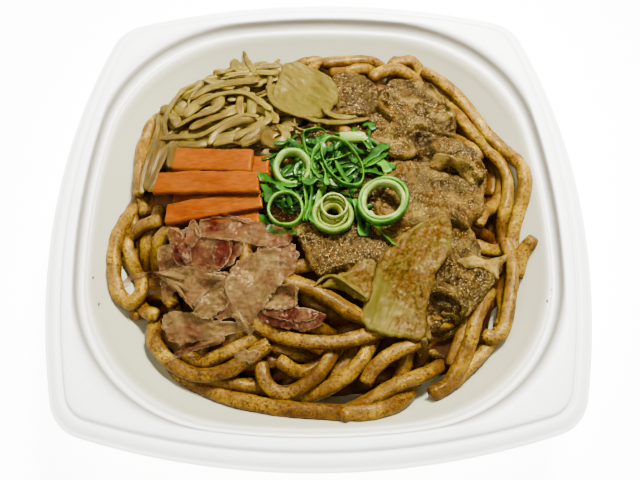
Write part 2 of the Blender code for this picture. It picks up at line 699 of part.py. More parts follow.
def main():
    clear_scene()
    dish = bpy.data.collections.new("yaki_udon")
    bpy.context.scene.collection.children.link(dish)
    foam = make_material("white_foam", (0.86, 0.86, 0.83), 0.5)
    noodle = make_material("fried_noodle", (0.50, 0.29, 0.08), 0.35, 0.3)
    sprout = make_material("bean_sprout", (0.55, 0.46, 0.24), 0.35, 0.2)
    pork = make_material("sauced_pork", (0.30, 0.15, 0.05), 0.35, 0.4)
    cabbage = make_material("cooked_cabbage", (0.62, 0.52, 0.22), 0.3, 0.3)
    carrot = make_material("carrot", (0.80, 0.26, 0.02), 0.35, 0.2)
    scallion = make_material("scallion_green", (0.24, 0.45, 0.07), 0.35, 0.2)
    bonito = make_material("bonito_flake", (0.60, 0.38, 0.26), 0.5)

    tray = make_tray(dish, foam)
    core = make_core(dish, noodle)
    _, walls = faces_seen(tray)
    _, bed = faces_seen(core)
    heap = Heap(np.maximum(walls, bed))

    sheet_grid = (SHEET_AROUND, SHEET_RINGS)
    sprouts = make_sheet("bean_sprouts", SPROUT_OUTLINE, SPROUT_BED, 0.6, (SPROUT_AROUND, SHEET_RINGS),
                         heap, dish, sprout)
    sprout_bed = faces_seen(sprouts)[1]
    for name, outline, thickness, wave in SHEETS:
        kind = pork if name.startswith("pork") else cabbage
        make_sheet(name, outline, thickness, wave, sheet_grid, heap, dish, kind)
    for carrot_row in CARROTS:
        make_carrot(*carrot_row, heap, dish, carrot)
    for name, outline, curl in FLAKES:
        make_sheet(name, outline, FLAKE_THICKNESS, curl, (FLAKE_AROUND, FLAKE_RINGS),
                   heap, dish, bonito)
    for sliver_row in SLIVERS:
        make_sliver(*sliver_row, heap, dish, scallion)
    for ring_row in RINGS:
        make_ring(*ring_row, heap, dish, scallion)

    others = np.full((CELLS, CELLS), np.inf)
    for piece in dish.objects:
        if piece not in (tray, core, sprouts):
            others = np.minimum(others, faces_seen(piece)[0])
    paths = lay_strands(SPROUTS, SPROUT_RADIUS, SPROUT_SINK, walls, sprout_bed, others)
    fuse(sprouts, [tube(f"sprout_{k}", path, SPROUT_RADIUS, dish, sprout)
                   for k, path in enumerate(paths)])
    ceiling = np.minimum(others, faces_seen(sprouts)[0])
    paths = lay_strands(NOODLES, NOODLE_RADIUS, NOODLE_SINK, walls, bed, ceiling)
    fuse(core, [tube(f"noodle_{k}", path, NOODLE_RADIUS, dish, noodle)
                for k, path in enumerate(paths)])


main()
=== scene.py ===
import math
import random

import bmesh
import bpy
import numpy as np
from mathutils import Matrix, Vector, noise
from mathutils.geometry import delaunay_2d_cdt


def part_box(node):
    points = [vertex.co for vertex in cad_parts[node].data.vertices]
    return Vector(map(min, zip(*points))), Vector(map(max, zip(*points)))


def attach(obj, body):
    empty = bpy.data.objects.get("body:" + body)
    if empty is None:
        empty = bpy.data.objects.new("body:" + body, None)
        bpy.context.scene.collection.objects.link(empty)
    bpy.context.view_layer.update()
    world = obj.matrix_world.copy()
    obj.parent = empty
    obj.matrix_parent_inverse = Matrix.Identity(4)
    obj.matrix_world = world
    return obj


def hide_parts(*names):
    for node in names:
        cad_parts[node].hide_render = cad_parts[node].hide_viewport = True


mm = 0.001
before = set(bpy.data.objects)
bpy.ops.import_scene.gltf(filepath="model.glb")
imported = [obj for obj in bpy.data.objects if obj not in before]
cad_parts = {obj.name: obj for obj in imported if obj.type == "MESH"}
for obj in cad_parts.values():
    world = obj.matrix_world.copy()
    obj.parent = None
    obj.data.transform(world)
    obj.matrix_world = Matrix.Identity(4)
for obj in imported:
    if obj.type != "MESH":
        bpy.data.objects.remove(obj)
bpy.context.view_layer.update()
toppings = [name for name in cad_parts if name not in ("tray", "noodles", "bean_sprouts")]

# where the camera stands and how it looks (millimetres and degrees)
camera = {
    "target": (0.66, -18.5, 37), "distance": 234.7, "elevation": 63.68,
    "turn": 0.51, "roll": -0.91, "lens": 35.66,
}


def cameraMatrix():
    x, y, z = camera["target"]
    return (Matrix.Rotation(math.radians(camera["turn"]), 4, 'Z')
            @ Matrix.Translation((x * mm, y * mm, z * mm))
            @ Matrix.Rotation(math.radians(90 - camera["elevation"]), 4, 'X')
            @ Matrix.Rotation(math.radians(camera["roll"]), 4, 'Z')
            @ Matrix.Translation((0, 0, camera["distance"] * mm)))


eye = np.array(cameraMatrix().translation) / mm


def makeCamera():
    data = bpy.data.cameras.new("camera")
    data.lens = camera["lens"]
    data.sensor_width = 36
    data.clip_start = 0.01
    seen = bpy.data.objects.new("camera", data)
    seen.matrix_world = cameraMatrix()
    bpy.context.scene.collection.objects.link(seen)
    bpy.context.scene.camera = seen


# the mound of food, and the plan grid that it is stacked on (millimetres)
mound = {"top": 44, "half": 81, "squareness": 2.7, "rim": 26, "rise": (1.5, 3.0), "dome": 2.3,
         "bedDepth": 13.0, "bedReach": 0.97}
grid = {"cell": 0.5, "half": 92}
axis = np.arange(-grid["half"], grid["half"] + grid["cell"] / 2, grid["cell"])
cells = len(axis)


def moundHeight(x, y):
    out = ((abs(x) / mound["half"]) ** mound["squareness"]
           + (abs(y) / mound["half"]) ** mound["squareness"]) ** (1 / mound["squareness"])
    rim = mound["rim"] + (mound["rise"][0] * x + mound["rise"][1] * y) / mound["half"]
    return rim + (mound["top"] - rim) * (1 - out ** mound["dome"])


# plan places on the mound's surface, slid towards or away from the eye to another height
def alongSight(places, height):
    share = (eye[2] - height) / (eye[2] - moundHeight(places[:, 0], places[:, 1]))
    return eye[:2] + (places - eye[:2]) * share[:, None]


def everywhere(height):
    return np.full((cells, cells), height)


def cellOf(places):
    return np.clip(np.rint((places + grid["half"]) / grid["cell"]).astype(int), 0, cells - 1)


# lowest and highest surface of a CAD node over each cell of the grid
def nodeMaps(name):
    low = everywhere(np.inf)
    top = everywhere(-np.inf)
    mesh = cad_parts[name].data
    mesh.calc_loop_triangles()
    points = np.array([tuple(v.co) for v in mesh.vertices]) / mm
    for triangle in mesh.loop_triangles:
        a, b, c = points[list(triangle.vertices)]
        low0 = np.minimum(np.minimum(a, b), c)[:2]
        high0 = np.maximum(np.maximum(a, b), c)[:2]
        i0, j0 = np.clip(np.ceil((low0 + grid["half"]) / grid["cell"]).astype(int), 0, cells)
        i1, j1 = np.clip(np.floor((high0 + grid["half"]) / grid["cell"]).astype(int) + 1, 0, cells)
        area = (b[0] - a[0]) * (c[1] - a[1]) - (b[1] - a[1]) * (c[0] - a[0])
        if i1 <= i0 or j1 <= j0 or abs(area) < 1e-9:
            continue
        x = axis[i0:i1, None] - a[0]
        y = axis[None, j0:j1] - a[1]
        v = (x * (c[1] - a[1]) - y * (c[0] - a[0])) / area
        w = (y * (b[0] - a[0]) - x * (b[1] - a[1])) / area
        inside = (v >= -1e-6) & (w >= -1e-6) & (v + w <= 1 + 1e-6)
        height = a[2] + v * (b[2] - a[2]) + w * (c[2] - a[2])
        window = (slice(i0, i1), slice(j0, j1))
        low[window] = np.where(inside, np.minimum(low[window], height), low[window])
        top[window] = np.where(inside, np.maximum(top[window], height), top[window])
    return low, top


# cell offsets under a ball, and how far its surface is from its middle there
def ball(radius):
    reach = int(radius / grid["cell"])
    found = [(i, j, math.sqrt(radius ** 2 - (i * i + j * j) * grid["cell"] ** 2))
             for i in range(-reach, reach + 1) for j in range(-reach, reach + 1)
             if (i * i + j * j) * grid["cell"] ** 2 <= radius ** 2]
    return np.array(found)


def around(surface, places, offsets):
    index = cellOf(places)
    i = np.clip(index[:, :1] + offsets[:, 0].astype(int), 0, cells - 1)
    j = np.clip(index[:, 1:] + offsets[:, 1].astype(int), 0, cells - 1)
    return i, j, surface[i, j]


# evenly spaced points on a smooth curve through the given ones
def splinePoints(points, spacing=None, count=None, closed=False):
    given = np.array(points, dtype=float)
    if closed:
        padded = np.vstack((given[-1:], given, given[:2]))
    else:
        padded = np.vstack((2 * given[0] - given[1], given, 2 * given[-1] - given[-2]))
    dense = []
    for a, b, c, d in zip(padded, padded[1:], padded[2:], padded[3:]):
        for t in np.linspace(0, 1, 16, endpoint=False):
            dense.append(0.5 * (2 * b + (c - a) * t + (2 * a - 5 * b + 4 * c - d) * t ** 2
                                + (3 * b - a - 3 * c + d) * t ** 3))
    dense.append(given[0] if closed else given[-1])
    dense = np.array(dense)
    along = np.concatenate(([0], np.cumsum(np.linalg.norm(np.diff(dense, axis=0), axis=1))))
    if count is None:
        count = max(3, round(along[-1] / spacing) + 1)
    stops = np.linspace(0, along[-1], count, endpoint=not closed)
    return np.stack([np.interp(stops, along, dense[:, k]) for k in range(dense.shape[1])], 1)


# even-odd test of plan points against a closed loop of points
def insideLoop(points, loop):
    inside = np.zeros(len(points), dtype=bool)
    for (x0, y0), (x1, y1) in zip(loop, np.roll(loop, -1, axis=0)):
        if y1 != y0:
            crosses = (y0 > points[:, 1]) != (y1 > points[:, 1])
            inside ^= crosses & (points[:, 0] < (x1 - x0) * (points[:, 1] - y0) / (y1 - y0) + x0)
    return inside


def insideOutline(points, outline):
    return insideLoop(points, splinePoints(outline, count=90, closed=True))


def smoothed(values, turns):
    for _ in range(turns):
        padded = np.pad(values, 1, mode='edge')
        values = (padded[:-2] + padded[1:-1] + padded[2:]) / 3
    return values


def blurred(surface, turns):
    for _ in range(turns):
        surface = (surface + np.roll(surface, 1, 0) + np.roll(surface, -1, 0)) / 3
        surface = (surface + np.roll(surface, 1, 1) + np.roll(surface, -1, 1)) / 3
    return surface


def widened(surface, turns):
    for _ in range(turns):
        surface = np.maximum(surface, np.maximum(np.roll(surface, 1, 0), np.roll(surface, -1, 0)))
        surface = np.maximum(surface, np.maximum(np.roll(surface, 1, 1), np.roll(surface, -1, 1)))
    return surface


def addPiece(name, mesh, material, nodes=(), smooth=True):
    piece = bpy.data.objects.new(name, mesh)
    bpy.context.scene.collection.objects.link(piece)
    mesh.materials.clear()
    mesh.materials.append(material)
    if smooth:
        mesh.shade_smooth()
    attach(piece, "root")
    if nodes:
        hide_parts(*nodes)
    return piece


def meshOf(name, points, faces, **attributes):
    mesh = bpy.data.meshes.new(name)
    mesh.from_pydata((np.asarray(points, dtype=float) * mm).tolist(), [], faces)
    for label, values in attributes.items():
        values = np.asarray(values, dtype=np.float32)
        kind = 'FLOAT' if values.ndim == 1 else 'FLOAT_VECTOR'
        held = mesh.attributes.new(label, kind, 'POINT')
        held.data.foreach_set("value" if values.ndim == 1 else "vector", values.ravel())
    return mesh


def applyModifiers(piece):
    bpy.context.view_layer.update()
    finished = bpy.data.meshes.new_from_object(piece.evaluated_get(bpy.context.evaluated_depsgraph_get()))
    piece.modifiers.clear()
    piece.data = finished


def turnFacesOut(mesh):
    work = bmesh.new()
    work.from_mesh(mesh)
    bmesh.ops.recalc_face_normals(work, faces=work.faces)
    work.to_mesh(mesh)
    work.free()


# faces of a closed body through rings of equally many points, capped at both ends
def loftRings(rings):
    count = len(rings[0])
    faces = [tuple(reversed(range(count)))]
    for level in range(len(rings) - 1):
        for k in range(count):
            a = level * count + k
            b = level * count + (k + 1) % count
            faces.append((a, b, b + count, a + count))
    last = (len(rings) - 1) * count
    faces.append(tuple(range(last, last + count)))
    return faces


# push a mesh in and out by layers of noise: (size, depth, ridged)
def roughen(mesh, layers, warp=None):
    count = len(mesh.vertices)
    points = np.empty(count * 3)
    normals = np.empty(count * 3)
    mesh.vertices.foreach_get("co", points)
    mesh.vertices.foreach_get("normal", normals)
    points = points.reshape(-1, 3)
    normals = normals.reshape(-1, 3)
    moved = points.copy()
    for k, place in enumerate(points / mm):
        shift = 0.0
        for size, depth, ridged in layers:
            value = noise.noise(Vector(place / size) + Vector((size, 7 * size, 3)))
            shift += depth * ((0.6 - 2 * abs(value)) if ridged else value)
        moved[k] += normals[k] * shift * mm
        if warp:
            size, depth = warp
            drift = noise.noise_vector(Vector(place / size))
            moved[k] += np.array((drift.x, drift.y, 0.3 * drift.z)) * depth * mm
    mesh.vertices.foreach_set("co", moved.ravel())
    mesh.update()


# a finely and evenly faced copy of a CAD node, with its edges softened
def fineCopy(node, voxel, smoothing):
    piece = bpy.data.objects.new(node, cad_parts[node].data.copy())
    bpy.context.scene.collection.objects.link(piece)
    remesh = piece.modifiers.new("Remesh", 'REMESH')
    remesh.mode = 'VOXEL'
    remesh.voxel_size = voxel * mm
    soften = piece.modifiers.new("Soften", 'SMOOTH')
    soften.iterations = smoothing
    applyModifiers(piece)
    mesh = piece.data
    bpy.data.objects.remove(piece, do_unlink=True)
    return mesh


def newMaterial(name, **values):
    material = bpy.data.materials.new(name)
    material.use_nodes = True
    shader = material.node_tree.nodes["Principled BSDF"]
    shader.inputs["Specular Tint"].default_value = (1.0, 0.75, 0.35, 1)   # sauce and oil warm every glint
    for label, value in values.items():
        shader.inputs[label.replace("_", " ")].default_value = value
    return material, material.node_tree, shader


# noise whose features are about this many millimetres across
def noiseNode(tree, size, detail=3.0, roughness=0.55, distortion=0.0, stretch=(1, 1, 1), source="Object"):
    if source == "Object":
        place = tree.nodes.new("ShaderNodeTexCoord").outputs["Object"]
    else:
        held = tree.nodes.new("ShaderNodeAttribute")
        held.attribute_name = source
        place = held.outputs["Vector"]
    shaper = tree.nodes.new("ShaderNodeMapping")
    shaper.inputs["Scale"].default_value = stretch
    tree.links.new(place, shaper.inputs["Vector"])
    pattern = tree.nodes.new("ShaderNodeTexNoise")
    pattern.inputs["Scale"].default_value = 1 / (size * mm)
    pattern.inputs["Detail"].default_value = detail
    pattern.inputs["Roughness"].default_value = roughness
    pattern.inputs["Distortion"].default_value = distortion
    tree.links.new(shaper.outputs["Vector"], pattern.inputs["Vector"])
    return pattern.outputs["Fac"]


# a colour ramp over (position, colour or grey) stops
def rampNode(tree, value, *stops):
    ramp = tree.nodes.new("ShaderNodeValToRGB")
    while len(ramp.color_ramp.elements) < len(stops):
        ramp.color_ramp.elements.new(0.5)
    for element, (position, colour) in zip(ramp.color_ramp.elements, stops):
        element.position = position
        element.color = (*colour, 1) if isinstance(colour, tuple) else (colour, colour, colour, 1)
    tree.links.new(value, ramp.inputs["Fac"])
    return ramp.outputs["Color"]


def mixNode(tree, factor, first, second, mode='MIX'):
    mixer = tree.nodes.new("ShaderNodeMix")
    mixer.data_type = 'RGBA'
    mixer.blend_type = mode
    for socket, value in ((mixer.inputs[0], factor), (mixer.inputs[6], first), (mixer.inputs[7], second)):
        if isinstance(value, tuple):
            socket.default_value = (*value, 1)
        elif isinstance(value, (int, float)):
            socket.default_value = value
        else:
            tree.links.new(value, socket)
    return mixer.outputs[2]


def timesNode(tree, share, first, second):
    return mixNode(tree, share, first, second, 'MULTIPLY')


# wetter and drier spots, about this many millimetres across
def mottledGloss(tree, shader, size, low, high):
    tree.links.new(rampNode(tree, noiseNode(tree, size), (0.3, low), (0.7, high)), shader.inputs["Roughness"])


def attributeNode(tree, label):
    held = tree.nodes.new("ShaderNodeAttribute")
    held.attribute_name = label
    return held.outputs["Fac"]


def bumpNode(tree, shader, height, strength, distance, after=None):
    bump = tree.nodes.new("ShaderNodeBump")
    bump.inputs["Strength"].default_value = strength
    bump.inputs["Distance"].default_value = distance * mm
    tree.links.new(height, bump.inputs["Height"])
    if after:
        tree.links.new(after, bump.inputs["Normal"])
    tree.links.new(bump.outputs["Normal"], shader.inputs["Normal"])
    return bump.outputs["Normal"]


foamTray = {
    "sideBulge": 275, "sideSteps": 32, "cornerSteps": 16, "cellSize": 0.9,
    # (half width, height, corner radius) from the middle of the bowl out to the lip
    "inside": ((62, 2.2, 45), (67, 5, 47), (76, 18, 52), (83.2, 29.5, 58), (84.6, 32, 60),
               (86.2, 34.2, 60), (87.0, 34.0, 60), (87.6, 33.4, 60), (88.4, 33.6, 60), (89.0, 36, 60),
               (89.6, 40, 60), (91.4, 40, 11), (92.8, 39.9, 11), (93.5, 39.4, 11.6), (94.0, 38.0, 12),
               (94.7, 37.9, 12.6), (95.3, 38.8, 13), (97.2, 38.5, 14), (98.2, 37.4, 15), (98.8, 37.0, 15.4),
               (100, 37, 16.4)),
    # the same section's underside, from the lip back to the foot
    "outside": ((100, 35.3, 16.4), (97.4, 35.4, 15), (94.6, 36.7, 13.5), (91.5, 38.1, 12),
                (91, 38, 61.5), (90, 34.4, 61.5), (86, 30.5, 61), (77.8, 17, 53.5), (68.4, 3.4, 48.5),
                (63.5, 0.5, 46), (61.5, 0, 45)),
    # the bowl and step colours are painted shade: a darker, warmer inner wall and dark lines at the steps of
    # the lip
    "white": (0.95, 0.95, 0.91), "bowl": (0.414, 0.3916, 0.2484), "step": (0.24, 0.225, 0.16),
    "roughness": 0.42,
    "specks": ((-83, -31, 0.45), (-79.5, -41, 0.4), (-76, -35, 0.25), (82, -42, 0.35), (84, -38, 0.25)),
}


# a square outline with bowed sides and round corners
def bowedSquare(half, corner, sideSteps, cornerSteps):
    bulge = foamTray["sideBulge"]
    reach = bulge - half
    middle = (math.sqrt(2 * (bulge - corner) ** 2 - reach ** 2) - reach) / 2
    turn = math.atan2(middle, middle + reach)
    quarter = []
    for step in range(sideSteps):
        angle = turn * (2 * step / sideSteps - 1)
        quarter.append((bulge * math.cos(angle) - reach, bulge * math.sin(angle)))
    for step in range(cornerSteps):
        angle = turn + (math.pi / 2 - 2 * turn) * step / cornerSteps
        quarter.append((middle + corner * math.cos(angle), middle + corner * math.sin(angle)))
    outline = []
    for cos, sin in ((1, 0), (0, 1), (-1, 0), (0, -1)):
        outline += [(cos * x - sin * y, sin * x + cos * y) for x, y in quarter]
    return outline


# corner cutting: the same profile with soft bends
def roundedProfile(profile, turns):
    for _ in range(turns):
        softer = [profile[0]]
        for a, b in zip(profile, profile[1:]):
            softer.append(0.75 * a + 0.25 * b)
            softer.append(0.25 * a + 0.75 * b)
        softer.append(profile[-1])
        profile = softer
    return profile


def makeTray():
    material, tree, shader = newMaterial("whiteFoam", Roughness=foamTray["roughness"],
                                         Specular_IOR_Level=0.45,
                                         Specular_Tint=(1, 1, 1, 1), Subsurface_Weight=0.15,
                                         Subsurface_Scale=0.004, Subsurface_Radius=(1.0, 0.95, 0.85))
    clouds = noiseNode(tree, 30, detail=2)
    white = foamTray["white"]
    shade = tuple(0.965 * v for v in white)
    colour = rampNode(tree, clouds, (0.35, shade), (0.65, white))
    # painted shade: the inner wall of the bowl takes a darker, warmer colour for the shade and warm bounce
    # light inside it
    colour = mixNode(tree, attributeNode(tree, "bowl"), colour, foamTray["bowl"])
    # painted shade: a dark line in the groove at the foot of the lip, and a fainter one on the lip's outer
    # step
    colour = mixNode(tree, attributeNode(tree, "step"), colour, foamTray["step"])
    tree.links.new(colour, shader.inputs["Base Color"])
    foamCells = tree.nodes.new("ShaderNodeTexVoronoi")
    foamCells.inputs["Scale"].default_value = 1 / (foamTray["cellSize"] * mm)
    tree.links.new(tree.nodes.new("ShaderNodeTexCoord").outputs["Object"], foamCells.inputs["Vector"])
    bumpNode(tree, shader, foamCells.outputs["Distance"], 0.05, 0.06)
    rows = foamTray["inside"] + foamTray["outside"]
    profile = roundedProfile([np.array(row, dtype=float) for row in rows], 2)
    rings = []
    for half, height, corner in profile:
        rings.append([(x, y, height) for x, y in bowedSquare(half, corner, foamTray["sideSteps"],
                                                             foamTray["cornerSteps"])])
    points = [point for ring in rings for point in ring]
    lastInside = len(foamTray["inside"]) * len(profile) // len(rows)
    half = np.array([row[0] for row in profile])
    inner = np.arange(len(profile)) < lastInside
    # how far each row lies inside the bowl, which sets the painted shade on the inner wall
    bowl = np.clip((90 - half) / 5, 0.0, 1) * (half < 89.8) * inner
    # where the painted shade lines lie: the groove at the lip's foot and, fainter, the outer step
    step = (np.exp(-((half - 89.3) / 0.5) ** 2) + 0.3 * np.exp(-((half - 94.3) / 0.5) ** 2)) * inner
    count = len(rings[0])
    mesh = meshOf("foamTray", points, loftRings(rings), bowl=np.repeat(bowl, count),
                  step=np.repeat(step, count))
    addPiece("foamTray", mesh, material, ["tray"])
    turnFacesOut(mesh)


# tiny flecks of sauce on the tray's wall
def makeSpecks(wallTop):
    material, tree, shader = newMaterial("sauceFleck", Roughness=0.3)
    tree.links.new(rampNode(tree, noiseNode(tree, 0.6), (0.4, (0.05, 0.03, 0.015)),
                            (0.7, (0.12, 0.07, 0.03))), shader.inputs["Base Color"])
    work = bmesh.new()
    for x, y, radius in foamTray["specks"]:
        i, j = cellOf(np.array([[x, y]]))[0]
        shaped = Matrix.Translation((x * mm, y * mm, (wallTop[i, j] + 0.02) * mm)) @ Matrix.Diagonal(
            (1.0, 1.5, 0.5, 1))
        bmesh.ops.create_icosphere(work, subdivisions=2, radius=radius * mm, matrix=shaped)
    mesh = bpy.data.meshes.new("sauceFlecks")
    work.to_mesh(mesh)
    work.free()
    addPiece("sauceFlecks", mesh, material)


# how strands settle: turns of evening out, and the steepest change between neighbouring points
laying = {
    "pressTurns": 50, "pressSlope": 0.06, "restTurns": 20, "restSlope": 0.02,
    "settle": 0.6, "soften": 4,
}


# a strand pressed up under what is already laid, and no higher than the lid
# (the topmost strands come first)
def pressStrand(points, radius, lid, underside, walls, squash=0.3, spacing=1.0):
    offsets = ball(radius)
    layout = splinePoints(points, spacing=spacing)
    places = layout
    for turn in range(3):
        index = cellOf(places)
        _, _, above = around(underside, places, offsets)
        room = (above - offsets[:, 2]).min(axis=1) + squash
        limit = np.minimum(lid[index[:, 0], index[:, 1]] - radius, room)
        height = limit.copy()
        for _ in range(laying["pressTurns"]):
            padded = np.pad(height, 2, mode='edge')
            mean = (padded[:-4] + padded[1:-3] + padded[2:-2] + padded[3:-1] + padded[4:]) / 5
            height = np.minimum(limit, mean + laying["pressSlope"])
        _, _, wall = around(walls, places, offsets)
        rest = (wall + offsets[:, 2]).max(axis=1)
        height = np.maximum(smoothed(np.maximum(height, rest), laying["soften"]), rest)
        if turn < 2:
            places = alongSight(layout, height)
    i, j, _ = around(underside, places, offsets)
    np.minimum.at(underside, (i, j), height[:, None] - offsets[:, 2])
    return np.column_stack((places, height))


# a strand that rests on what is already there, below the ceiling where there is one
def restStrand(points, radius, ground, ceiling, lift=0.0, spacing=0.8):
    offsets = ball(radius)
    layout = splinePoints(points, spacing=spacing)
    places = layout
    for _ in range(3):
        _, _, below = around(ground, places, offsets)
        height = (below + laying["settle"] * offsets[:, 2]).max(axis=1)
        for _ in range(laying["restTurns"]):
            height = np.maximum(height, smoothed(height, 1) - laying["restSlope"])
        index = cellOf(places)
        height = np.minimum(smoothed(height, laying["soften"]) + lift,
                            ceiling[index[:, 0], index[:, 1]] - radius)
        places = alongSight(layout, height)
    return np.column_stack((places, height))


def stampTop(top, path, radius):
    offsets = ball(radius)
    i, j, _ = around(top, path[:, :2], offsets)
    np.maximum.at(top, (i, j), path[:, 2:] + offsets[:, 2])


def stampAll(top, strands, radius):
    for path in strands:
        stampTop(top, path, radius)


# more strands, each laid across a place where nothing lies near the surface yet
def fillGaps(style, region, count, lid, underside, walls, top, chance):
    strands = []
    lower = lid - style["belowDrop"]
    untried = region.copy()
    for _ in range(count):
        bare = np.argwhere(untried & (top < lower - style["gap"]))
        if len(bare) == 0:
            break
        i, j = bare[chance.randrange(len(bare))]
        untried[max(i - 2, 0):i + 3, max(j - 2, 0):j + 3] = False
        middle = np.array((axis[i], axis[j])) + (chance.uniform(-1, 1), chance.uniform(-1, 1))
        heading = style["heading"](middle) + chance.gauss(0, style["stray"])
        bend = chance.uniform(-1, 1) * style["bend"]
        steps = [chance.uniform(0.7, 1.0) * style["length"] * k / 6 for k in range(-3, 4)]
        points = np.array([middle + np.array((math.cos(heading + bend * t), math.sin(heading + bend * t))) * t
                           for t in steps])
        index = cellOf(points)
        points = points[region[index[:, 0], index[:, 1]]]
        if len(points) < 4:
            continue
        before = underside.copy()
        path = pressStrand(points, style["layer"], lower, underside, walls)
        if np.median(path[:, 2] - moundHeight(path[:, 0], path[:, 1])) < -mound["bedDepth"]:
            underside[:] = before   # it would lie unseen inside the bed
            continue
        stampTop(top, path, style["layer"])
        strands.append(path)
    return strands


# rings of a round-cornered section carried along a line, lying flat where the roll is nought
def sectionRings(line, wide, thick, roll, sides, squareness):
    ahead = np.gradient(line, axis=0)
    ahead /= np.maximum(np.linalg.norm(ahead, axis=1), 1e-9)[:, None]
    side = np.cross(ahead, (0, 0, 1.0))
    side /= np.maximum(np.linalg.norm(side, axis=1), 1e-6)[:, None]
    up = np.cross(side, ahead)
    angle = np.linspace(0, 2 * math.pi, sides, endpoint=False)
    power = 2 / squareness
    across = (np.sign(np.cos(angle)) * abs(np.cos(angle)) ** power) * wide[:, None]
    high = (np.sign(np.sin(angle)) * abs(np.sin(angle)) ** power) * thick[:, None]
    cos, sin = np.cos(roll)[:, None], np.sin(roll)[:, None]
    u = across * cos - high * sin
    v = across * sin + high * cos
    return line[:, None, :] + side[:, None, :] * u[..., None] + up[:, None, :] * v[..., None]


def tubeFaces(count, sides, first):
    faces = []
    for k in range(count - 1):
        for s in range(sides):
            a = first + k * sides + s
            b = first + k * sides + (s + 1) % sides
            faces.append((a, a + sides, b + sides, b))
    faces.append(tuple(range(first, first + sides)))
    faces.append(tuple(reversed(range(first + (count - 1) * sides, first + count * sides))))
    return faces


# one mesh of uneven strands along their paths, with their tint, depth and grain
def strandMesh(name, strands, style, chance):
    points, faces, tints, depths, grains, unders, stains = [], [], [], [], [], [], []
    first = 0
    sides = style["sides"]
    for number, path in enumerate(strands):
        line = splinePoints(path[::3] if len(path) > 12 else path, spacing=style["spacing"])
        count = len(line)
        run = np.arange(count) * style["spacing"]
        size = chance.uniform(*style["spread"])
        swell = 1 + style["swell"] * (np.sin(run / chance.uniform(6, 11) + chance.uniform(0, 6))
                                      + 0.6 * np.sin(run / chance.uniform(2.5, 4.5) + chance.uniform(0, 6)))
        for k, share in enumerate(style["tip"]):
            swell[k] *= share
            swell[-1 - k] *= share
        roll = (chance.gauss(0, style["roll"]) + style["roll"]
                * np.sin(run / chance.uniform(9, 16) + chance.uniform(0, 6)))
        rings = sectionRings(line, style["wide"] * size * swell, style["thick"] * size * swell, roll, sides,
                             style["squareness"])
        wobble = [noise.noise(Vector(p / style["lump"][0])) for p in rings.reshape(-1, 3)]
        angle = np.linspace(0, 2 * math.pi, sides, endpoint=False)
        centre = line[:, None, :]
        groove = 1 - style["groove"] * (1 - abs(np.cos(angle))) ** 2
        rings = centre + (rings - centre) * (groove[:, None] + style["lump"][1]
                                             * np.array(wobble).reshape(count, sides, 1))
        points.append(rings.reshape(-1, 3))
        faces += tubeFaces(count, sides, first)
        tints.append(np.full(count * sides, chance.random()))
        # how far below the heap's top each point lies: the noodles darken with it (painted shade) and the
        # sprouts brighten with it (painted light)
        sunk = np.clip((moundHeight(rings[..., 0], rings[..., 1]) - rings[..., 2]) / 14, 0, 1)
        depths.append(sunk.ravel())
        near = [np.exp(-((rings[..., 0] - x) ** 2 + (rings[..., 1] - y) ** 2) / radius ** 2)
                for x, y, radius in style["stained"]]
        stains.append(np.max(near, axis=0).ravel())
        # how low on the strand's section each point lies, used for painted shade on the underside
        unders.append(np.clip(0.5 + (line[:, None, 2] - rings[..., 2]) / style["thick"] / 2, 0, 1).ravel())
        label = np.broadcast_to(run[:, None] * style["grainStretch"], (count, sides))
        grains.append(np.stack((label, np.broadcast_to(np.cos(angle) * 2.5, (count, sides)),
                                np.broadcast_to(np.sin(angle) * 2.5 + number * 17, (count, sides))),
                               -1).reshape(-1, 3))
        first += count * sides
    return meshOf(name, np.vstack(points), faces, tint=np.concatenate(tints), depth=np.concatenate(depths),
                  under=np.concatenate(unders), stain=np.concatenate(stains), grain=np.vstack(grains) * mm)


# cells of the grid inside the heap's outline, shrunk by a share
def heapRegion(share):
    reach, power = mound["half"] * share, mound["squareness"]
    return (abs(gridX) / reach) ** power + (abs(gridY) / reach) ** power < 1


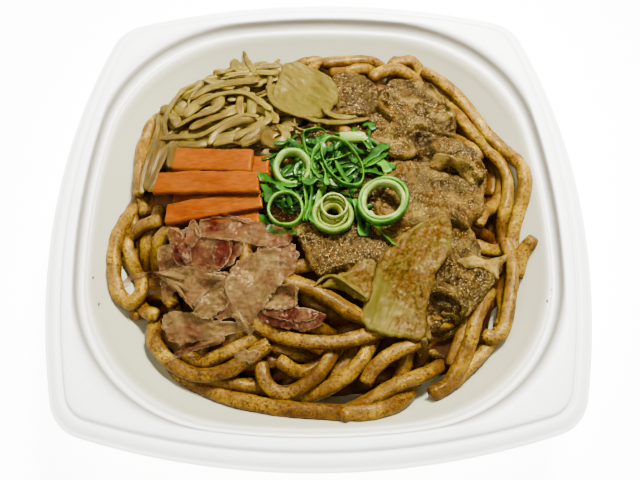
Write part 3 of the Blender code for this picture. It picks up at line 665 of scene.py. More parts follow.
noodles = {
    "layer": 2.5, "wide": 2.6, "thick": 2.4, "spread": (0.93, 1.07), "swell": 0.03, "roll": 0.35,
    "squareness": 2.7, "tip": (0.8, 0.95), "lump": (3.5, 0.12), "groove": 0.0, "sides": 14, "spacing": 1.25,
    "grainStretch": 0.2,
    # side and deep are painted shade: the colour of the strands' undersides and of strands lying deep in the
    # heap
    "light": (0.2195, 0.1274, 0.0034), "mid": (0.124, 0.0625, 0.0043), "brown": (0.054, 0.0188, 0.0029),
    "side": (0.0804, 0.0238, 0.0014), "deep": (0.0367, 0.0089, 0.0017), "fleck": (0.0147, 0.0051, 0.0014),
    "belowDrop": 2.6, "gap": 2.8, "belowCount": 170, "length": 46, "bend": 0.03, "stray": 0.55,
    "deepDrop": 7.0, "deepCount": 70, "backDrop": 4.0, "backCount": 40,
    "reach": 0.95, "deepReach": 0.9, "behind": (56, -16, 40), "seed": 5,
    "bare": ((-71, -56, 13), (42, 25, 6), (24, 77, 6), (62, -52, 7)),
    "stained": ((0, -75, 30), (35, -70, 18), (-40, -66, 12), (0, -45, 14)),
    "heading": lambda place: math.atan2(place[1], place[0]) + math.pi / 2,
    # centre lines seen from above, lowest first
    "lines": (
        ((-53, -61.5), (-47, -67), (-38, -71), (-26, -75), (-12, -77.5), (2, -78.5), (14, -79), (24, -77.5),
         (31, -73), (33, -65)),
        ((60, -30), (66, -36), (68, -44), (64, -52)),
        ((70, -12), (69, -22), (67, -32)),
        ((-16, -58), (-6, -61), (6, -60), (16, -57)),
        ((-14, -62), (-7, -66), (0, -64), (6, -59)),
        ((2, -72), (8, -65), (12, -59), (17, -53)),
        ((27, -71), (30, -64), (32, -57), (36, -50)),
        ((-5, -49), (5, -52), (15, -52), (22, -50)),
        ((-42, -67), (-33, -68.5), (-25, -70), (-18, -70)),
        ((-48, -58), (-42, -61.5), (-34, -60), (-26, -57), (-18, -54)),
        ((16, -70), (20, -64.5), (27, -60), (35, -57)),
        ((-13, -74), (-3, -73.5), (7, -69.5), (14, -64), (18, -58), (21, -53)),
        ((-20, -63), (-18.5, -69), (-14, -72.5), (-8, -72), (-1, -68), (4, -62), (7, -56)),
        ((8, -80), (18, -75), (28, -70), (38, -66.5), (44, -63)),
        ((-23, -49), (-16, -53.5), (-6, -56.5), (6, -57), (16, -55), (27, -52)),
        ((-12, -36), (-4, -38.5), (4, -42.5), (11, -47), (18, -50)),
        ((-54, -42), (-58.5, -47), (-59.5, -52.5), (-55.5, -58.5), (-48.5, -64), (-40, -66.5), (-31, -65),
         (-24, -61.5), (-17, -57)),
        ((-67, 4), (-67, -8), (-66.5, -18), (-67.5, -28)),
        ((-61, -2), (-62, -10), (-64.5, -18), (-63, -28)),
        ((-60, -8), (-68, -9), (-74, -13), (-72, -21), (-68, -29)),
        ((-62, -27), (-61, -18), (-57, -14), (-53, -16), (-52, -24)),
        ((-57, -29), (-51, -32), (-46, -37), (-43, -43)),
        ((-63, -33), (-58, -35), (-53, -39), (-51, -45)),
        ((-68, -44), (-62, -38), (-56, -38), (-51, -43)),
        ((-58, -45), (-63, -43), (-68, -37)),
        ((-70, 6), (-76.5, -4), (-79, -14), (-78, -26), (-75, -34.5), (-69.5, -39), (-65.5, -36),
         (-66, -29)),
        ((-64, 22), (-68, 14), (-69, 5), (-67, -4)),
        ((-69, 49), (-72, 42), (-73, 33), (-72.5, 24), (-72, 14), (-71, 5)),
        ((-57, 62), (-51, 66.5), (-45, 66), (-41, 62)),
        ((6, 66), (13, 65), (20, 66), (27, 62)),
        ((2, 70), (9, 70.5), (16, 71.5), (24, 71.5), (31, 68)),
        ((32, 66), (35, 72.5), (41, 75), (47, 71.5), (50, 66), (52, 60)),
        ((23, 58), (28, 63), (35, 65.5), (41, 62.5), (46, 58)),
        ((52, 51), (54, 41), (57, 31), (62, 24), (65, 16)),
        ((56, 46), (59, 38), (62, 30), (67, 22), (70, 14), (68.5, 6), (66, 0)),
        ((54, 44), (58, 35), (63, 28), (69, 22), (73, 14), (72.5, 6), (69, -1), (63, -7), (60, -13)),
        ((50, 58), (55, 50), (59.5, 40), (64, 32), (70, 25), (75, 17), (76, 9), (74, 0), (70.5, -10),
         (71, -20)),
        ((46, 66), (53, 60), (59, 52), (64, 43), (69, 34), (75, 27), (81, 21), (83, 14), (82, 6),
         (78.5, -4), (75, -14), (74, -26), (71, -36)),
        ((83, -14), (79, -19), (76, -25), (74, -32)),
        ((58, -20), (64, -21.5), (70, -20)),
        ((46, -70), (54, -63), (61, -56), (66, -49)),
        ((36, -50), (43, -50.5), (50, -49), (55, -45)),
        ((71, -16), (73, -26), (71, -36), (69, -44), (67, -50), (63, -53.5), (58, -52)),
        ((46, -64), (49, -58), (52, -51), (54, -45)),
        ((39, -73), (45, -70), (50, -63), (53.5, -56), (56, -49), (59.5, -42), (63, -36)),
    ),
}


def noodleMaterial(name, shadeShift=0.0):
    material, tree, shader = newMaterial(name, Specular_IOR_Level=0.2)
    # the second argument shifts the stain ramp towards brown: painted shade, partly sauce, for the strands
    # below
    stain = rampNode(tree, noiseNode(tree, 8, detail=5, roughness=0.6, distortion=0.5),
                     (0.34 - shadeShift, noodles["light"]), (0.5 - shadeShift, noodles["mid"]),
                     (0.72 - shadeShift, noodles["brown"]))
    tint = rampNode(tree, attributeNode(tree, "tint"), (0.0, (1.12, 1.12, 1.0)), (1.0, (0.84, 0.78, 0.7)))
    colour = timesNode(tree, 1.0, stain, tint)
    streaks = rampNode(tree, noiseNode(tree, 1.6, detail=4, source="grain"), (0.3, 0.7), (0.62, 1.1))
    colour = timesNode(tree, 0.8, colour, streaks)
    grit = rampNode(tree, noiseNode(tree, 0.9, detail=3, roughness=0.7), (0.35, 0.6), (0.62, 1.4))
    colour = timesNode(tree, 0.9, colour, grit)
    # painted shade, partly sauce: strands lying deeper below the heap's top turn towards the deep colour
    colour = mixNode(tree, rampNode(tree, attributeNode(tree, "depth"), (0.22, 0.0), (0.8, 0.9)), colour,
                     noodles["deep"])
    soaked = rampNode(tree, attributeNode(tree, "stain"), (0.2, (1, 1, 1)), (1.0, (0.66, 0.58, 0.5)))
    colour = timesNode(tree, 1.0, colour, soaked)
    # painted shade: the lower side of every strand turns darker and redder, broken up by noise
    side = rampNode(tree, attributeNode(tree, "under"), (0.2, 0.0), (0.55, 0.9))
    ragged = rampNode(tree, noiseNode(tree, 2.2, detail=5, roughness=0.75), (0.38, 0.2), (0.58, 1.0))
    colour = mixNode(tree, timesNode(tree, 1.0, side, ragged), colour, noodles["side"])
    flecks = rampNode(tree, noiseNode(tree, 1.0, detail=3, roughness=0.6), (0.53, 0.0), (0.59, 0.95))
    patches = rampNode(tree, noiseNode(tree, 5, detail=4, roughness=0.6), (0.40, 0.35), (0.58, 1.0))
    colour = mixNode(tree, timesNode(tree, 1.0, flecks, patches), colour, noodles["fleck"])
    tree.links.new(colour, shader.inputs["Base Color"])
    mottledGloss(tree, shader, 2.5, 0.22, 0.5)
    first = bumpNode(tree, shader, noiseNode(tree, 0.8, detail=3), 0.55, 0.35)
    bumpNode(tree, shader, noiseNode(tree, 3.0, detail=2), 0.35, 0.7, after=first)
    return material


def makeNoodles(lid, underside, walls, covered):
    chance = random.Random(noodles["seed"])
    shown = [pressStrand(points, noodles["layer"], lid, underside, walls)
             for points in reversed(noodles["lines"])]
    top = everywhere(-np.inf)
    stampAll(top, shown, noodles["layer"])
    region = heapRegion(noodles["reach"])
    for x, y, radius in noodles["bare"]:
        region &= (gridX - x) ** 2 + (gridY - y) ** 2 > radius ** 2
    back, left, right = noodles["behind"]   # seen from the back alone
    behind = heapRegion(noodles["reach"]) & (gridY > back) & (gridX > left) & (gridX < right)
    below = []
    for drop, place, count, over in (
            (noodles["belowDrop"], region, noodles["belowCount"], covered),
            (noodles["deepDrop"], region & heapRegion(noodles["deepReach"]), noodles["deepCount"], covered),
            (noodles["backDrop"], behind, noodles["backCount"], top)):
        found = fillGaps(dict(noodles, belowDrop=drop), place, count, lid, underside, walls,
                         np.maximum(top, over), chance)
        stampAll(top, found, noodles["layer"])
        below += found
    print(len(shown), "noodles on top,", len(below), "below")
    addPiece("noodles", strandMesh("noodles", shown, noodles, chance), noodleMaterial("friedNoodle"),
             ["noodles"])
    # the strands below use a browner copy of the material: painted shade
    addPiece("noodlesBelow", strandMesh("noodlesBelow", below, dict(noodles, sides=12), chance),
             noodleMaterial("friedNoodleBelow", 0.06))
    return top


# the imported noodles inside the heap, of which only dark gaps show; their near black colour is painted
# shade, partly dark sauce
bed = {
    "edge": (72, 52), "foot": ((58, 44, 2.7), (65, 47, 6.6)),   # half width, corner radius, height
    "rings": 24, "innermost": 0.08, "lowest": 14.5, "shoulder": 8,
    "dark": (0.012, 0.0045, 0.0015), "brown": (0.04, 0.015, 0.003), "soaked": (0.16, 0.105, 0.03),
    "lumps": ((7, 2.5, False), (3, 1.0, False)),
}


def makeBed():
    material, tree, shader = newMaterial("packedNoodle", Roughness=0.8, Specular_IOR_Level=0.05)
    # painted shade, partly dark sauce: near black browns for the gaps into the heap
    colour = rampNode(tree, noiseNode(tree, 5, detail=4), (0.35, bed["dark"]), (0.7, bed["brown"]))
    colour = mixNode(tree, attributeNode(tree, "pale"), colour, bed["soaked"])   # sprouts, deep down
    tree.links.new(colour, shader.inputs["Base Color"])
    edge = np.array(bowedSquare(*bed["edge"], 16, 8))
    rings = [[(x, y, height) for x, y in bowedSquare(half, corner, 16, 8)]
             for half, corner, height in bed["foot"]]
    for share in np.linspace(1.0, bed["innermost"], bed["rings"]):
        flat = edge * share
        lowest = bed["lowest"] - bed["shoulder"] * (share > 0.99)
        rings.append([(x, y, max(lowest, moundHeight(x, y) - mound["bedDepth"]))
                      for x, y in flat])
    points = [point for ring in rings for point in ring]
    underSprouts = insideOutline(np.array(points)[:, :2], sprouts["outline"])
    mesh = meshOf("noodleBed", points, loftRings(rings), pale=underSprouts.astype(float))
    roughen(mesh, bed["lumps"])
    addPiece("noodleBed", mesh, material)


sprouts = {
    "layer": 1.0, "wide": 1.95, "thick": 0.7, "spread": (0.6, 1.3), "swell": 0.1, "roll": 0.4,
    "squareness": 2.4, "tip": (0.5, 0.8), "lump": (3, 0.16), "groove": 0.35, "sides": 10, "spacing": 1.1,
    "grainStretch": 0.1, "stained": ((-66, 20, 24), (-58, 22, 10), (-20, 24, 9)),
    "pale": (0.1366, 0.1, 0.0091), "mid": (0.0866, 0.06, 0.0066), "warm": (0.0791, 0.0451, 0.0057),
    # painted light: the colour for strands deep in the heap is brighter than mid, lifting the shade between
    # strands
    "deep": (0.1457, 0.0898, 0.0195),
    "belowDrop": 0.5, "gap": 0.6, "belowCount": 360, "deepDrop": 1.6, "deepCount": 260, "length": 28,
    "bend": 0.04, "stray": 0.5, "seed": 11,
    "heading": lambda place: 0.25,
    "outline": ((-68, 48), (-60, 59), (-50, 65), (-38, 71), (-25, 71), (-15, 70), (-12, 60), (-14, 50),
                (-10, 40), (-6, 33), (-8, 24), (-18, 18), (-29, 19), (-42, 20), (-56, 20), (-63, 26),
                (-68, 38)),
    # lowest first
    "lines": (
        ((-66, 42), (-64, 34), (-65, 25), (-67, 14), (-68, 6)),
        ((-61, 30), (-62, 22), (-65, 12), (-66, 5)),
        ((-69, 47), (-67, 38), (-68, 28), (-70, 15), (-70, 5)),
        ((-59, 29), (-58, 22), (-58, 14)),
        ((-50, 63), (-42, 57), (-34, 55)),
        ((-57, 26), (-48, 24), (-40, 24)),
        ((-42, 24), (-34, 25), (-26, 22)),
        ((-30, 21), (-24, 25), (-20, 31)),
        ((-64, 48), (-60, 42), (-58, 36)),
        ((-58, 53), (-52, 57), (-49, 63)),
        ((-22, 66), (-20, 58), (-21, 50)),
        ((-52, 33), (-45, 36), (-38, 38), (-30, 41)),
        ((-27, 50), (-27, 42), (-26, 34)),
        ((-62, 30), (-64, 40), (-62, 50), (-57, 58)),
        ((-55, 46), (-54, 52), (-50, 60)),
        ((-42, 62), (-30, 64), (-17, 63)),
        ((-32, 50), (-32, 42), (-30, 34)),
        ((-44, 65), (-36, 68), (-26, 68), (-15, 69)),
        ((-20, 40), (-19, 34), (-15, 31)),
        ((-59, 35), (-52, 39), (-45, 41), (-41, 44), (-42, 48), (-46, 49), (-51, 46), (-56, 40)),
        ((-33, 24), (-28, 28), (-22, 31), (-18, 35)),
        ((-43, 23), (-40, 29), (-33, 33), (-25, 34)),
        ((-54, 51), (-47, 56), (-38, 58), (-24, 58.5)),
        ((-50, 47), (-42, 51), (-32, 51), (-25, 46), (-18, 38)),
        ((-65, 31.5), (-57, 30), (-48, 28.5), (-42, 31), (-36, 35), (-29, 37), (-23, 35)),
        ((-33, 80), (-31, 74), (-28, 67), (-26, 61)),
        ((-38, 76), (-36, 71), (-34, 66)),
        ((-9, 33), (-8.5, 28.5), (-4.5, 26.5), (-1, 28), (-1.5, 31)),
        ((-19, 28), (-20, 23), (-16.5, 20.5), (-12.5, 22.5), (-13, 27), (-17, 31)),
    ),
}


def makeSprouts(lid, underside, walls, covered):
    chance = random.Random(sprouts["seed"])
    material, tree, shader = newMaterial("beanSprout", Specular_IOR_Level=0.25,
                                         Subsurface_Weight=0.6, Subsurface_Scale=0.002,
                                         Subsurface_Radius=(1.0, 0.8, 0.35))
    colour = rampNode(tree, noiseNode(tree, 7, detail=4, distortion=0.5), (0.33, sprouts["pale"]),
                      (0.52, sprouts["mid"]), (0.74, sprouts["warm"]))
    streaks = rampNode(tree, noiseNode(tree, 0.6, detail=4, source="grain"), (0.34, 0.55), (0.62, 1.3))
    colour = timesNode(tree, 0.9, colour, streaks)
    tint = rampNode(tree, attributeNode(tree, "tint"), (0.0, (1.12, 1.15, 1.1)), (1.0, (0.88, 0.8, 0.62)))
    colour = timesNode(tree, 1.0, colour, tint)
    soaked = rampNode(tree, attributeNode(tree, "stain"), (0.2, (1, 1, 1)), (1.0, (0.5, 0.36, 0.25)))
    colour = timesNode(tree, 1.0, colour, soaked)
    # painted light: deeper strands are mixed towards the brighter deep colour
    colour = mixNode(tree, rampNode(tree, attributeNode(tree, "depth"), (0.2, 0.0), (0.8, 0.8)), colour,
                     sprouts["deep"])
    tree.links.new(colour, shader.inputs["Base Color"])
    mottledGloss(tree, shader, 2, 0.25, 0.42)
    bumpNode(tree, shader, noiseNode(tree, 0.8, detail=3, source="grain"), 0.7, 0.35)
    shown = [pressStrand(points, sprouts["layer"], lid, underside, walls, spacing=0.7)
             for points in reversed(sprouts["lines"])]
    top = everywhere(-np.inf)
    stampAll(top, shown, sprouts["layer"])
    flat = np.stack((gridX.ravel(), gridY.ravel()), 1)
    region = insideOutline(flat, sprouts["outline"]).reshape(gridX.shape)
    below = fillGaps(sprouts, region, sprouts["belowCount"], lid, underside, walls,
                     np.maximum(top, covered), chance)
    stampAll(top, below, sprouts["layer"])
    deep = fillGaps(dict(sprouts, belowDrop=sprouts["deepDrop"]), region, sprouts["deepCount"], lid,
                    underside, walls, np.maximum(top, covered), chance)
    print(len(shown), "sprouts on top,", len(below), "below and", len(deep), "deeper")
    addPiece("beanSprouts", strandMesh("beanSprouts", shown + below, sprouts, chance), material,
             ["bean_sprouts"])
    if deep:
        addPiece("beanSproutsBelow", strandMesh("beanSproutsBelow", deep, sprouts, chance), material)
    return top


# a height map carried on past its own edges
def spreadOut(surface, turns):
    known = np.isfinite(surface)
    value = np.where(known, surface, 0.0)
    for _ in range(turns):
        weight = sum(np.roll(known, step, side) for side in (0, 1) for step in (-1, 1))
        total = sum(np.roll(value * known, step, side) for side in (0, 1) for step in (-1, 1))
        grow = ~known & (weight > 0)
        value[grow] = total[grow] / weight[grow]
        known |= grow
    return value


# a height map read between its cells
def valueAt(surface, places):
    at = np.clip((places + grid["half"]) / grid["cell"], 0, cells - 1.001)
    i, j = at[:, 0].astype(int), at[:, 1].astype(int)
    u, v = at[:, 0] - i, at[:, 1] - j
    return ((surface[i, j] * (1 - u) + surface[i + 1, j] * u) * (1 - v)
            + (surface[i, j + 1] * (1 - u) + surface[i + 1, j + 1] * u) * v)


# points and triangles that fill an outline, its rim points first, and each point's way to the edge
def sheetPlan(outline, spacing, ragged, chance):
    rim = splinePoints(outline, spacing=spacing * 0.8, closed=True)[:-1]
    out = rim - rim.mean(axis=0)
    out /= np.linalg.norm(out, axis=1)[:, None]
    seed = chance.uniform(0, 50)
    rough = [noise.noise(Vector((x / ragged[0], y / ragged[0], seed)))
             + 0.5 * noise.noise(Vector((x / ragged[0] * 2.7, y / ragged[0] * 2.7, seed))) for x, y in rim]
    rim = rim + out * np.array(rough)[:, None] * ragged[1]
    low, high = rim.min(axis=0), rim.max(axis=0)
    rows = np.arange(low[1], high[1], spacing * 0.87)
    inner = np.array([(x + (k % 2) * spacing / 2, y) for k, y in enumerate(rows)
                      for x in np.arange(low[0], high[0], spacing)])
    edges = np.roll(rim, -1, axis=0)
    inner = inner[insideLoop(inner, rim)]

    def wayOut(points):
        best = np.full(len(points), np.inf)
        for a, b in zip(rim, edges):
            along = np.clip(((points - a) @ (b - a)) / max(1e-9, (b - a) @ (b - a)), 0, 1)
            best = np.minimum(best, np.linalg.norm(points - a - along[:, None] * (b - a), axis=1))
        return best

    inner = inner[wayOut(inner) > spacing * 0.45]
    given = np.vstack((rim, inner))
    loop = [(k, (k + 1) % len(rim)) for k in range(len(rim))]
    made, _, triangles, source, _, _ = delaunay_2d_cdt([Vector(p) for p in given], loop, [], 1, 1e-4)
    position = {first: k for k, ids in enumerate(source) for first in ids}
    rimIndex = [position[k] for k in range(len(rim))]
    points = np.array([tuple(p) for p in made])
    return points, triangles, rimIndex, wayOut(points)


# a closed sheet: its upper face at the heights that topOf gives, thinned to a soft edge
def sheetMesh(name, plan, topOf, thickness, soft, relief, colours=None):
    points, triangles, rimIndex, way = plan
    places = points
    height = topOf(places)
    for _ in range(2):
        places = alongSight(points, height)
        height = topOf(places)
    domed = np.sqrt(1 - (1 - np.minimum(way / soft, 1)) ** 2)
    half = thickness / 2 * (0.12 + 0.88 * domed)
    middle = height - thickness / 2
    bumps = relief(points, way) * (0.25 + 0.75 * domed)
    upper = np.column_stack((places, middle + half + bumps))
    lower = np.column_stack((places, middle - half + 0.6 * np.minimum(bumps, 0.4)))
    count = len(points)
    area = sum((points[t[1]][0] - points[t[0]][0]) * (points[t[2]][1] - points[t[0]][1])
               - (points[t[2]][0] - points[t[0]][0]) * (points[t[1]][1] - points[t[0]][1])
               for t in triangles[:9])
    ups = [tuple(t) if area > 0 else tuple(reversed(t)) for t in triangles]
    faces = ups + [tuple(k + count for k in reversed(t)) for t in ups]
    turned = splineArea(points[rimIndex]) > 0
    for a, b in zip(rimIndex, rimIndex[1:] + rimIndex[:1]):
        faces.append((a, a + count, b + count, b) if turned else (b, b + count, a + count, a))
    held = {"way": np.concatenate((way, way))}
    for label, values in (colours or {}).items():
        held[label] = np.concatenate((values, values))
    return meshOf(name, np.vstack((upper, lower)), faces, **held), upper


def splineArea(loop):
    after = np.roll(loop, -1, axis=0)
    return 0.5 * float(np.sum(loop[:, 0] * after[:, 1] - loop[:, 1] * after[:, 0]))


# sum of noise layers (size, depth, kind) over plan points, kind smooth, ridge or lump
def layered(points, *layers):
    total = np.zeros(len(points))
    for size, depth, kind in layers:
        for k, (x, y) in enumerate(points):
            value = noise.noise(Vector((x / size, y / size, size * 3)))
            if kind == "ridge":
                value = 0.5 - 2 * abs(value)
            elif kind == "lump":
                value = 2 * abs(value) - 0.4
            total[k] += depth * value
    return total


def stampSheet(top, upper):
    index = cellOf(upper[:, :2])
    np.maximum.at(top, (index[:, 0], index[:, 1]), upper[:, 2])


pork = {
    "spacing": 0.55, "thickness": 2.0, "soft": 1.4, "ragged": (3.0, 0.8), "rimWidth": 1.3, "seed": 21,
    "light": (0.0251, 0.0122, 0.0006), "meat": (0.0134, 0.0054, 0.0003), "sauce": (0.0062, 0.002, 0.0003),
    # the glint colour is a painted highlight
    "pit": (0.0064, 0.0025, 0.0007), "paintedGlint": (0.4199, 0.275, 0.096), "gold": (0.0446, 0.0164, 0.0004),
    "fat": (0.175, 0.107, 0.016),
    # CAD node or none, outline, lift above the solids, rim curl, share of fat, of gravel, and of dark sauce
    "slices": (
        ("pork_1", ((7, 60), (12, 62), (17, 62.5), (21, 60), (24.5, 55), (25.5, 49), (24, 44), (24, 38.5),
                    (20, 35.5), (13, 36), (8.5, 38), (8, 46), (6.5, 54)), 0.0, 0.3, 0.0, 1.0, 0.45),
        ("pork_5", ((21, 25), (26, 28), (30, 32), (34, 29), (36, 23), (39, 18), (34, 14), (28, 15), (25, 19),
                    (20, 21)), 0.0, 0.8, 0.25, 0.5, 0.2),
        ("pork_2", ((27.5, 52), (30, 56), (35, 58.5), (42, 59), (48, 57.5), (52, 53), (55, 46), (57, 40),
                    (56.5, 33), (55.5, 27.5), (50, 27), (46, 28.5), (41, 30), (37, 27), (34, 23.5),
                    (32.5, 29), (29.5, 33), (26, 37), (25, 43), (26, 48)), 0.0, 1.2, 0.1, 0.7, 0.15),
        ("pork_4", ((27, 10), (30, 13), (36, 13.5), (43, 14.5), (50, 17), (55, 16), (60, 12.5), (66, 13.5),
                    (67, 8), (65, 2), (64, -4), (60, -9.5), (55, -14), (48, -12), (40, -15), (33, -19),
                    (27, -20), (22, -16), (21, -8), (22, 0), (24, 6)), 0.0, 0.4, 0.05, 0.35, 0.25),
        ("pork_3", ((44.5, 20), (47, 25), (53, 27), (59, 25.5), (64, 20.5), (67.5, 14), (65, 9), (60, 11.5),
                    (54, 13.5), (49, 15.5)), 0.0, 0.9, 0.15, 0.8, 0.3),
        ("pork_6", ((-8, -18), (-5, -15), (2, -15.5), (8, -17), (14, -18.5), (20, -20.5), (25, -22),
                    (26, -26), (22, -31), (18, -36), (12, -35), (8, -32.5), (3, -35), (-1, -33.5),
                    (-3.5, -29), (-5, -24)), 0.0, 0.3, 0.0, 0.6, 0.75),
        (None, ((37, -46.5), (44, -45.5), (51, -47), (52.5, -50), (49, -54), (43, -56), (38, -55.5),
                (35, -51)), -1.6, 0.5, 0.1, 0.6, 0.3),
        (None, ((34, -55), (37, -54), (39, -57), (43, -60), (45, -61.5), (41, -61.5), (37, -59)), -1.2, 0.2,
         0.3, 0.4, 0.2),
        ("pork_7", ((41, -12), (46, -9), (52, -9.5), (58, -14), (60.5, -20), (61, -23.5), (66, -24),
                    (71, -22), (69, -26), (67, -31), (63, -35.5), (60, -40), (55, -45), (52.5, -47),
                    (53, -42), (50, -38), (45, -36), (40, -36.5), (36.5, -39), (34, -46), (32, -52.5),
                    (28.5, -54.5), (28.5, -47), (27, -40), (26, -33), (27.5, -26), (32, -20),
                    (37, -16)), 0.0, 0.35, 0.12, 1.0, 0.3),
        (None, ((35, -38), (40, -36), (46, -35.5), (51, -38), (54, -42), (53.5, -46), (51, -47), (50.5, -43),
                (47, -40.5), (41, -39.5), (36, -41.5)), 0.9, 0.2, 0.2, 0.5, 0.15),
        (None, ((44, 13.5), (47, 16.5), (52, 17), (57, 15), (61, 11.5), (63, 8), (60, 6.5), (56, 9), (51, 11),
                (46, 11)), 0.8, 0.0, 0.75, 1.3, 0.0),
        (None, ((57, -24), (62, -25), (67, -23.5), (72, -21.5), (69.5, -25.5), (67.5, -29), (66.5, -32),
                (63, -29.5), (59, -28.5), (54, -29.5), (51, -27)), 0.8, 0.2, 0.95, 0.1, 0.0),
        (None, ((-8.5, -15.5), (-4, -13.5), (1, -15), (0, -17.5), (-4, -18.5), (-8, -19)), 1.0, 0.2, 0.6, 0.2,
         0.0),
    ),
    # what lies between the slices: outline, how far below them, and hollows (x, y, radius, depth)
    "scraps": ((-18, 14), (-12, 24), (-4, 33), (4, 42), (6, 52), (16, 58), (24, 53), (33, 55), (45, 55),
               (52, 48), (54, 38), (53, 28), (61, 20), (64, 10), (62, 0), (59, -8), (57, -16), (62, -27),
               (58, -38), (53, -45), (46, -50), (36, -53), (27, -50), (20, -42), (17, -32), (10, -31),
               (2, -32), (-4, -26), (-9, -18), (-18, -12), (-20, 0)),
    "scrapsBelow": 0.9, "scrapsThickness": 4.0, "scrapsSoft": 2.5, "underCabbage": 0.9, "deepest": 9,
    "hollows": ((42, 25, 3.6, 3), (38, 16, 3, 2.5), (44, -43.5, 4.5, 3), (64, -16, 3.5, 3), (9, 8, 6, 3),
                (31, 13.5, 4.5, 2.5), (6, -38, 5, 3), (-10, 8, 4, 2)),
}


def porkMaterial():
    material, tree, shader = newMaterial("saucedPork", Specular_IOR_Level=0.2,
                                         Specular_Tint=(1, 0.7, 0.2, 1))
    colour = rampNode(tree, noiseNode(tree, 7, detail=5, roughness=0.6, distortion=0.8),
                      (0.34, pork["sauce"]), (0.5, pork["meat"]), (0.64, pork["light"]))
    gold = rampNode(tree, noiseNode(tree, 10, detail=4, distortion=0.5), (0.5, 0.0), (0.58, 0.75))
    colour = mixNode(tree, gold, colour, pork["gold"])
    sauced = timesNode(tree, 1.0, attributeNode(tree, "sauce"),
                       rampNode(tree, noiseNode(tree, 5, detail=4), (0.35, 1.0), (0.65, 0.35)))
    colour = mixNode(tree, sauced, colour, pork["sauce"])
    colour = mixNode(tree, attributeNode(tree, "fat"), colour, pork["fat"])
    # crumbly grain of light and dark specks; its brightest grains are partly painted sparkle
    crumbs = rampNode(tree, noiseNode(tree, 0.75, detail=3, roughness=0.7), (0.38, 0.12), (0.5, 0.7),
                      (0.62, 2.1))
    colour = mixNode(tree, attributeNode(tree, "gravel"), colour, timesNode(tree, 1.0, colour, crumbs))
    # painted highlights: small bright gold specks where the gravel is
    paintedGlints = rampNode(tree, noiseNode(tree, 0.6, detail=2), (0.62, 0.0), (0.66, 0.95))
    paintedGlints = timesNode(tree, 1.0, paintedGlints, attributeNode(tree, "gravel"))
    colour = mixNode(tree, paintedGlints, colour, pork["paintedGlint"])
    pits = rampNode(tree, noiseNode(tree, 2.6, detail=3), (0.31, 0.75), (0.40, 0.0))
    colour = mixNode(tree, pits, colour, pork["pit"])
    # painted shade, partly dark sauce: the hollows between the slices take the dark pit colour
    colour = mixNode(tree, rampNode(tree, attributeNode(tree, "hollowShade"), (0.2, 0.0), (0.7, 0.9)), colour,
                     pork["pit"])
    tree.links.new(colour, shader.inputs["Base Color"])
    mottledGloss(tree, shader, 1.6, 0.16, 0.5)
    first = bumpNode(tree, shader, noiseNode(tree, 0.8, detail=3), 0.95, 0.5)
    bumpNode(tree, shader, noiseNode(tree, 2.2, detail=3), 0.5, 0.9, after=first)
    return material


def makePork(top, nodeTops, cadTop):
    chance = random.Random(pork["seed"])
    material = porkMaterial()
    porkTop = np.max([nodeTops[node] for node in toppings if node.startswith("pork")], axis=0)
    everyTop = blurred(spreadOut(porkTop, 60), 8)
    roof = np.min([nodeMaps(node)[0] for node in toppings if node.startswith("cabbage")], axis=0)
    roof = roof - pork["underCabbage"]

    # a height held under the cabbage and above the inside of the heap
    def kept(height, places):
        index = cellOf(places)
        height = np.minimum(height, roof[index[:, 0], index[:, 1]])
        return np.maximum(height, moundHeight(places[:, 0], places[:, 1]) - pork["deepest"])

    # closeness to the hollows, which sets the painted shade there
    def hollowness(places):
        far = [((places[:, 0] - x) ** 2 + (places[:, 1] - y) ** 2) / radius ** 2
               for x, y, radius, _ in pork["hollows"]]
        return np.exp(-np.min(far, axis=0) ** 2)

    def scrapsTop(places):
        height = np.minimum(valueAt(everyTop, places), moundHeight(places[:, 0], places[:, 1]) + 0.5)
        height = height - pork["scrapsBelow"]
        for x, y, radius, depth in pork["hollows"]:
            far = ((places[:, 0] - x) ** 2 + (places[:, 1] - y) ** 2) / radius ** 2
            height = height - depth * np.exp(-far ** 2)
        return kept(height, places)

    plan = sheetPlan(pork["scraps"], 0.8, (6, 2.0), chance)
    count = len(plan[0])
    mesh, upper = sheetMesh("porkScraps", plan, scrapsTop, pork["scrapsThickness"], pork["scrapsSoft"],
                            lambda points, way: layered(points, (5, 1.0, "smooth"), (2.2, 0.6, "lump")),
                            {"sauce": np.full(count, 0.75), "fat": np.zeros(count),
                             "gravel": np.full(count, 0.7), "hollowShade": hollowness(plan[0])})
    addPiece("porkScraps", mesh, material)
    stampSheet(top, upper)
    for number, (node, outline, lift, curl, fat, gravel, sauce) in enumerate(pork["slices"]):
        plan = sheetPlan(outline, pork["spacing"], pork["ragged"], chance)
        points, way = plan[0], plan[3]
        base = blurred(spreadOut(nodeTops[node], 40), 4) if node else blurred(spreadOut(cadTop, 6), 3)
        if fat > 0.7:
            base = blurred(widened(spreadOut(cadTop, 6), 4), 8)   # the fat bridges the gaps beneath it
        edgeFat = np.clip(1.2 - way / pork["rimWidth"], 0, 1) * (0.2 if curl > 0.7 else 0.1)
        spots = np.clip(layered(points, (6, 1.4, "smooth")) + fat - 0.1, 0, 1) * (fat > 0)
        shades = {"sauce": np.full(len(points), sauce),
                  "fat": np.clip(edgeFat + spots * (0.5 + fat / 2), 0, 1),
                  "gravel": min(1, gravel + 0.2) * np.clip(0.7 + layered(points, (9, 1.2, "smooth")), 0, 1)}

        def relief(points, way):
            rim = curl * np.exp(-((way - pork["rimWidth"]) / 0.9) ** 2)
            grain = layered(points, (1.9, 0.55, "lump"), (1.0, 0.3, "smooth")) * (0.3 + 0.7 * gravel)
            return rim + layered(points, (9, 1.0, "smooth"), (4.5, 0.6, "ridge")) + grain

        mesh, upper = sheetMesh(f"porkSlice{number + 1}", plan,
                                lambda places: kept(valueAt(base, places) + lift, places),
                                pork["thickness"], pork["soft"], relief, shades)
        addPiece(f"porkSlice{number + 1}", mesh, material, [node] if node else ())
        stampSheet(top, upper)


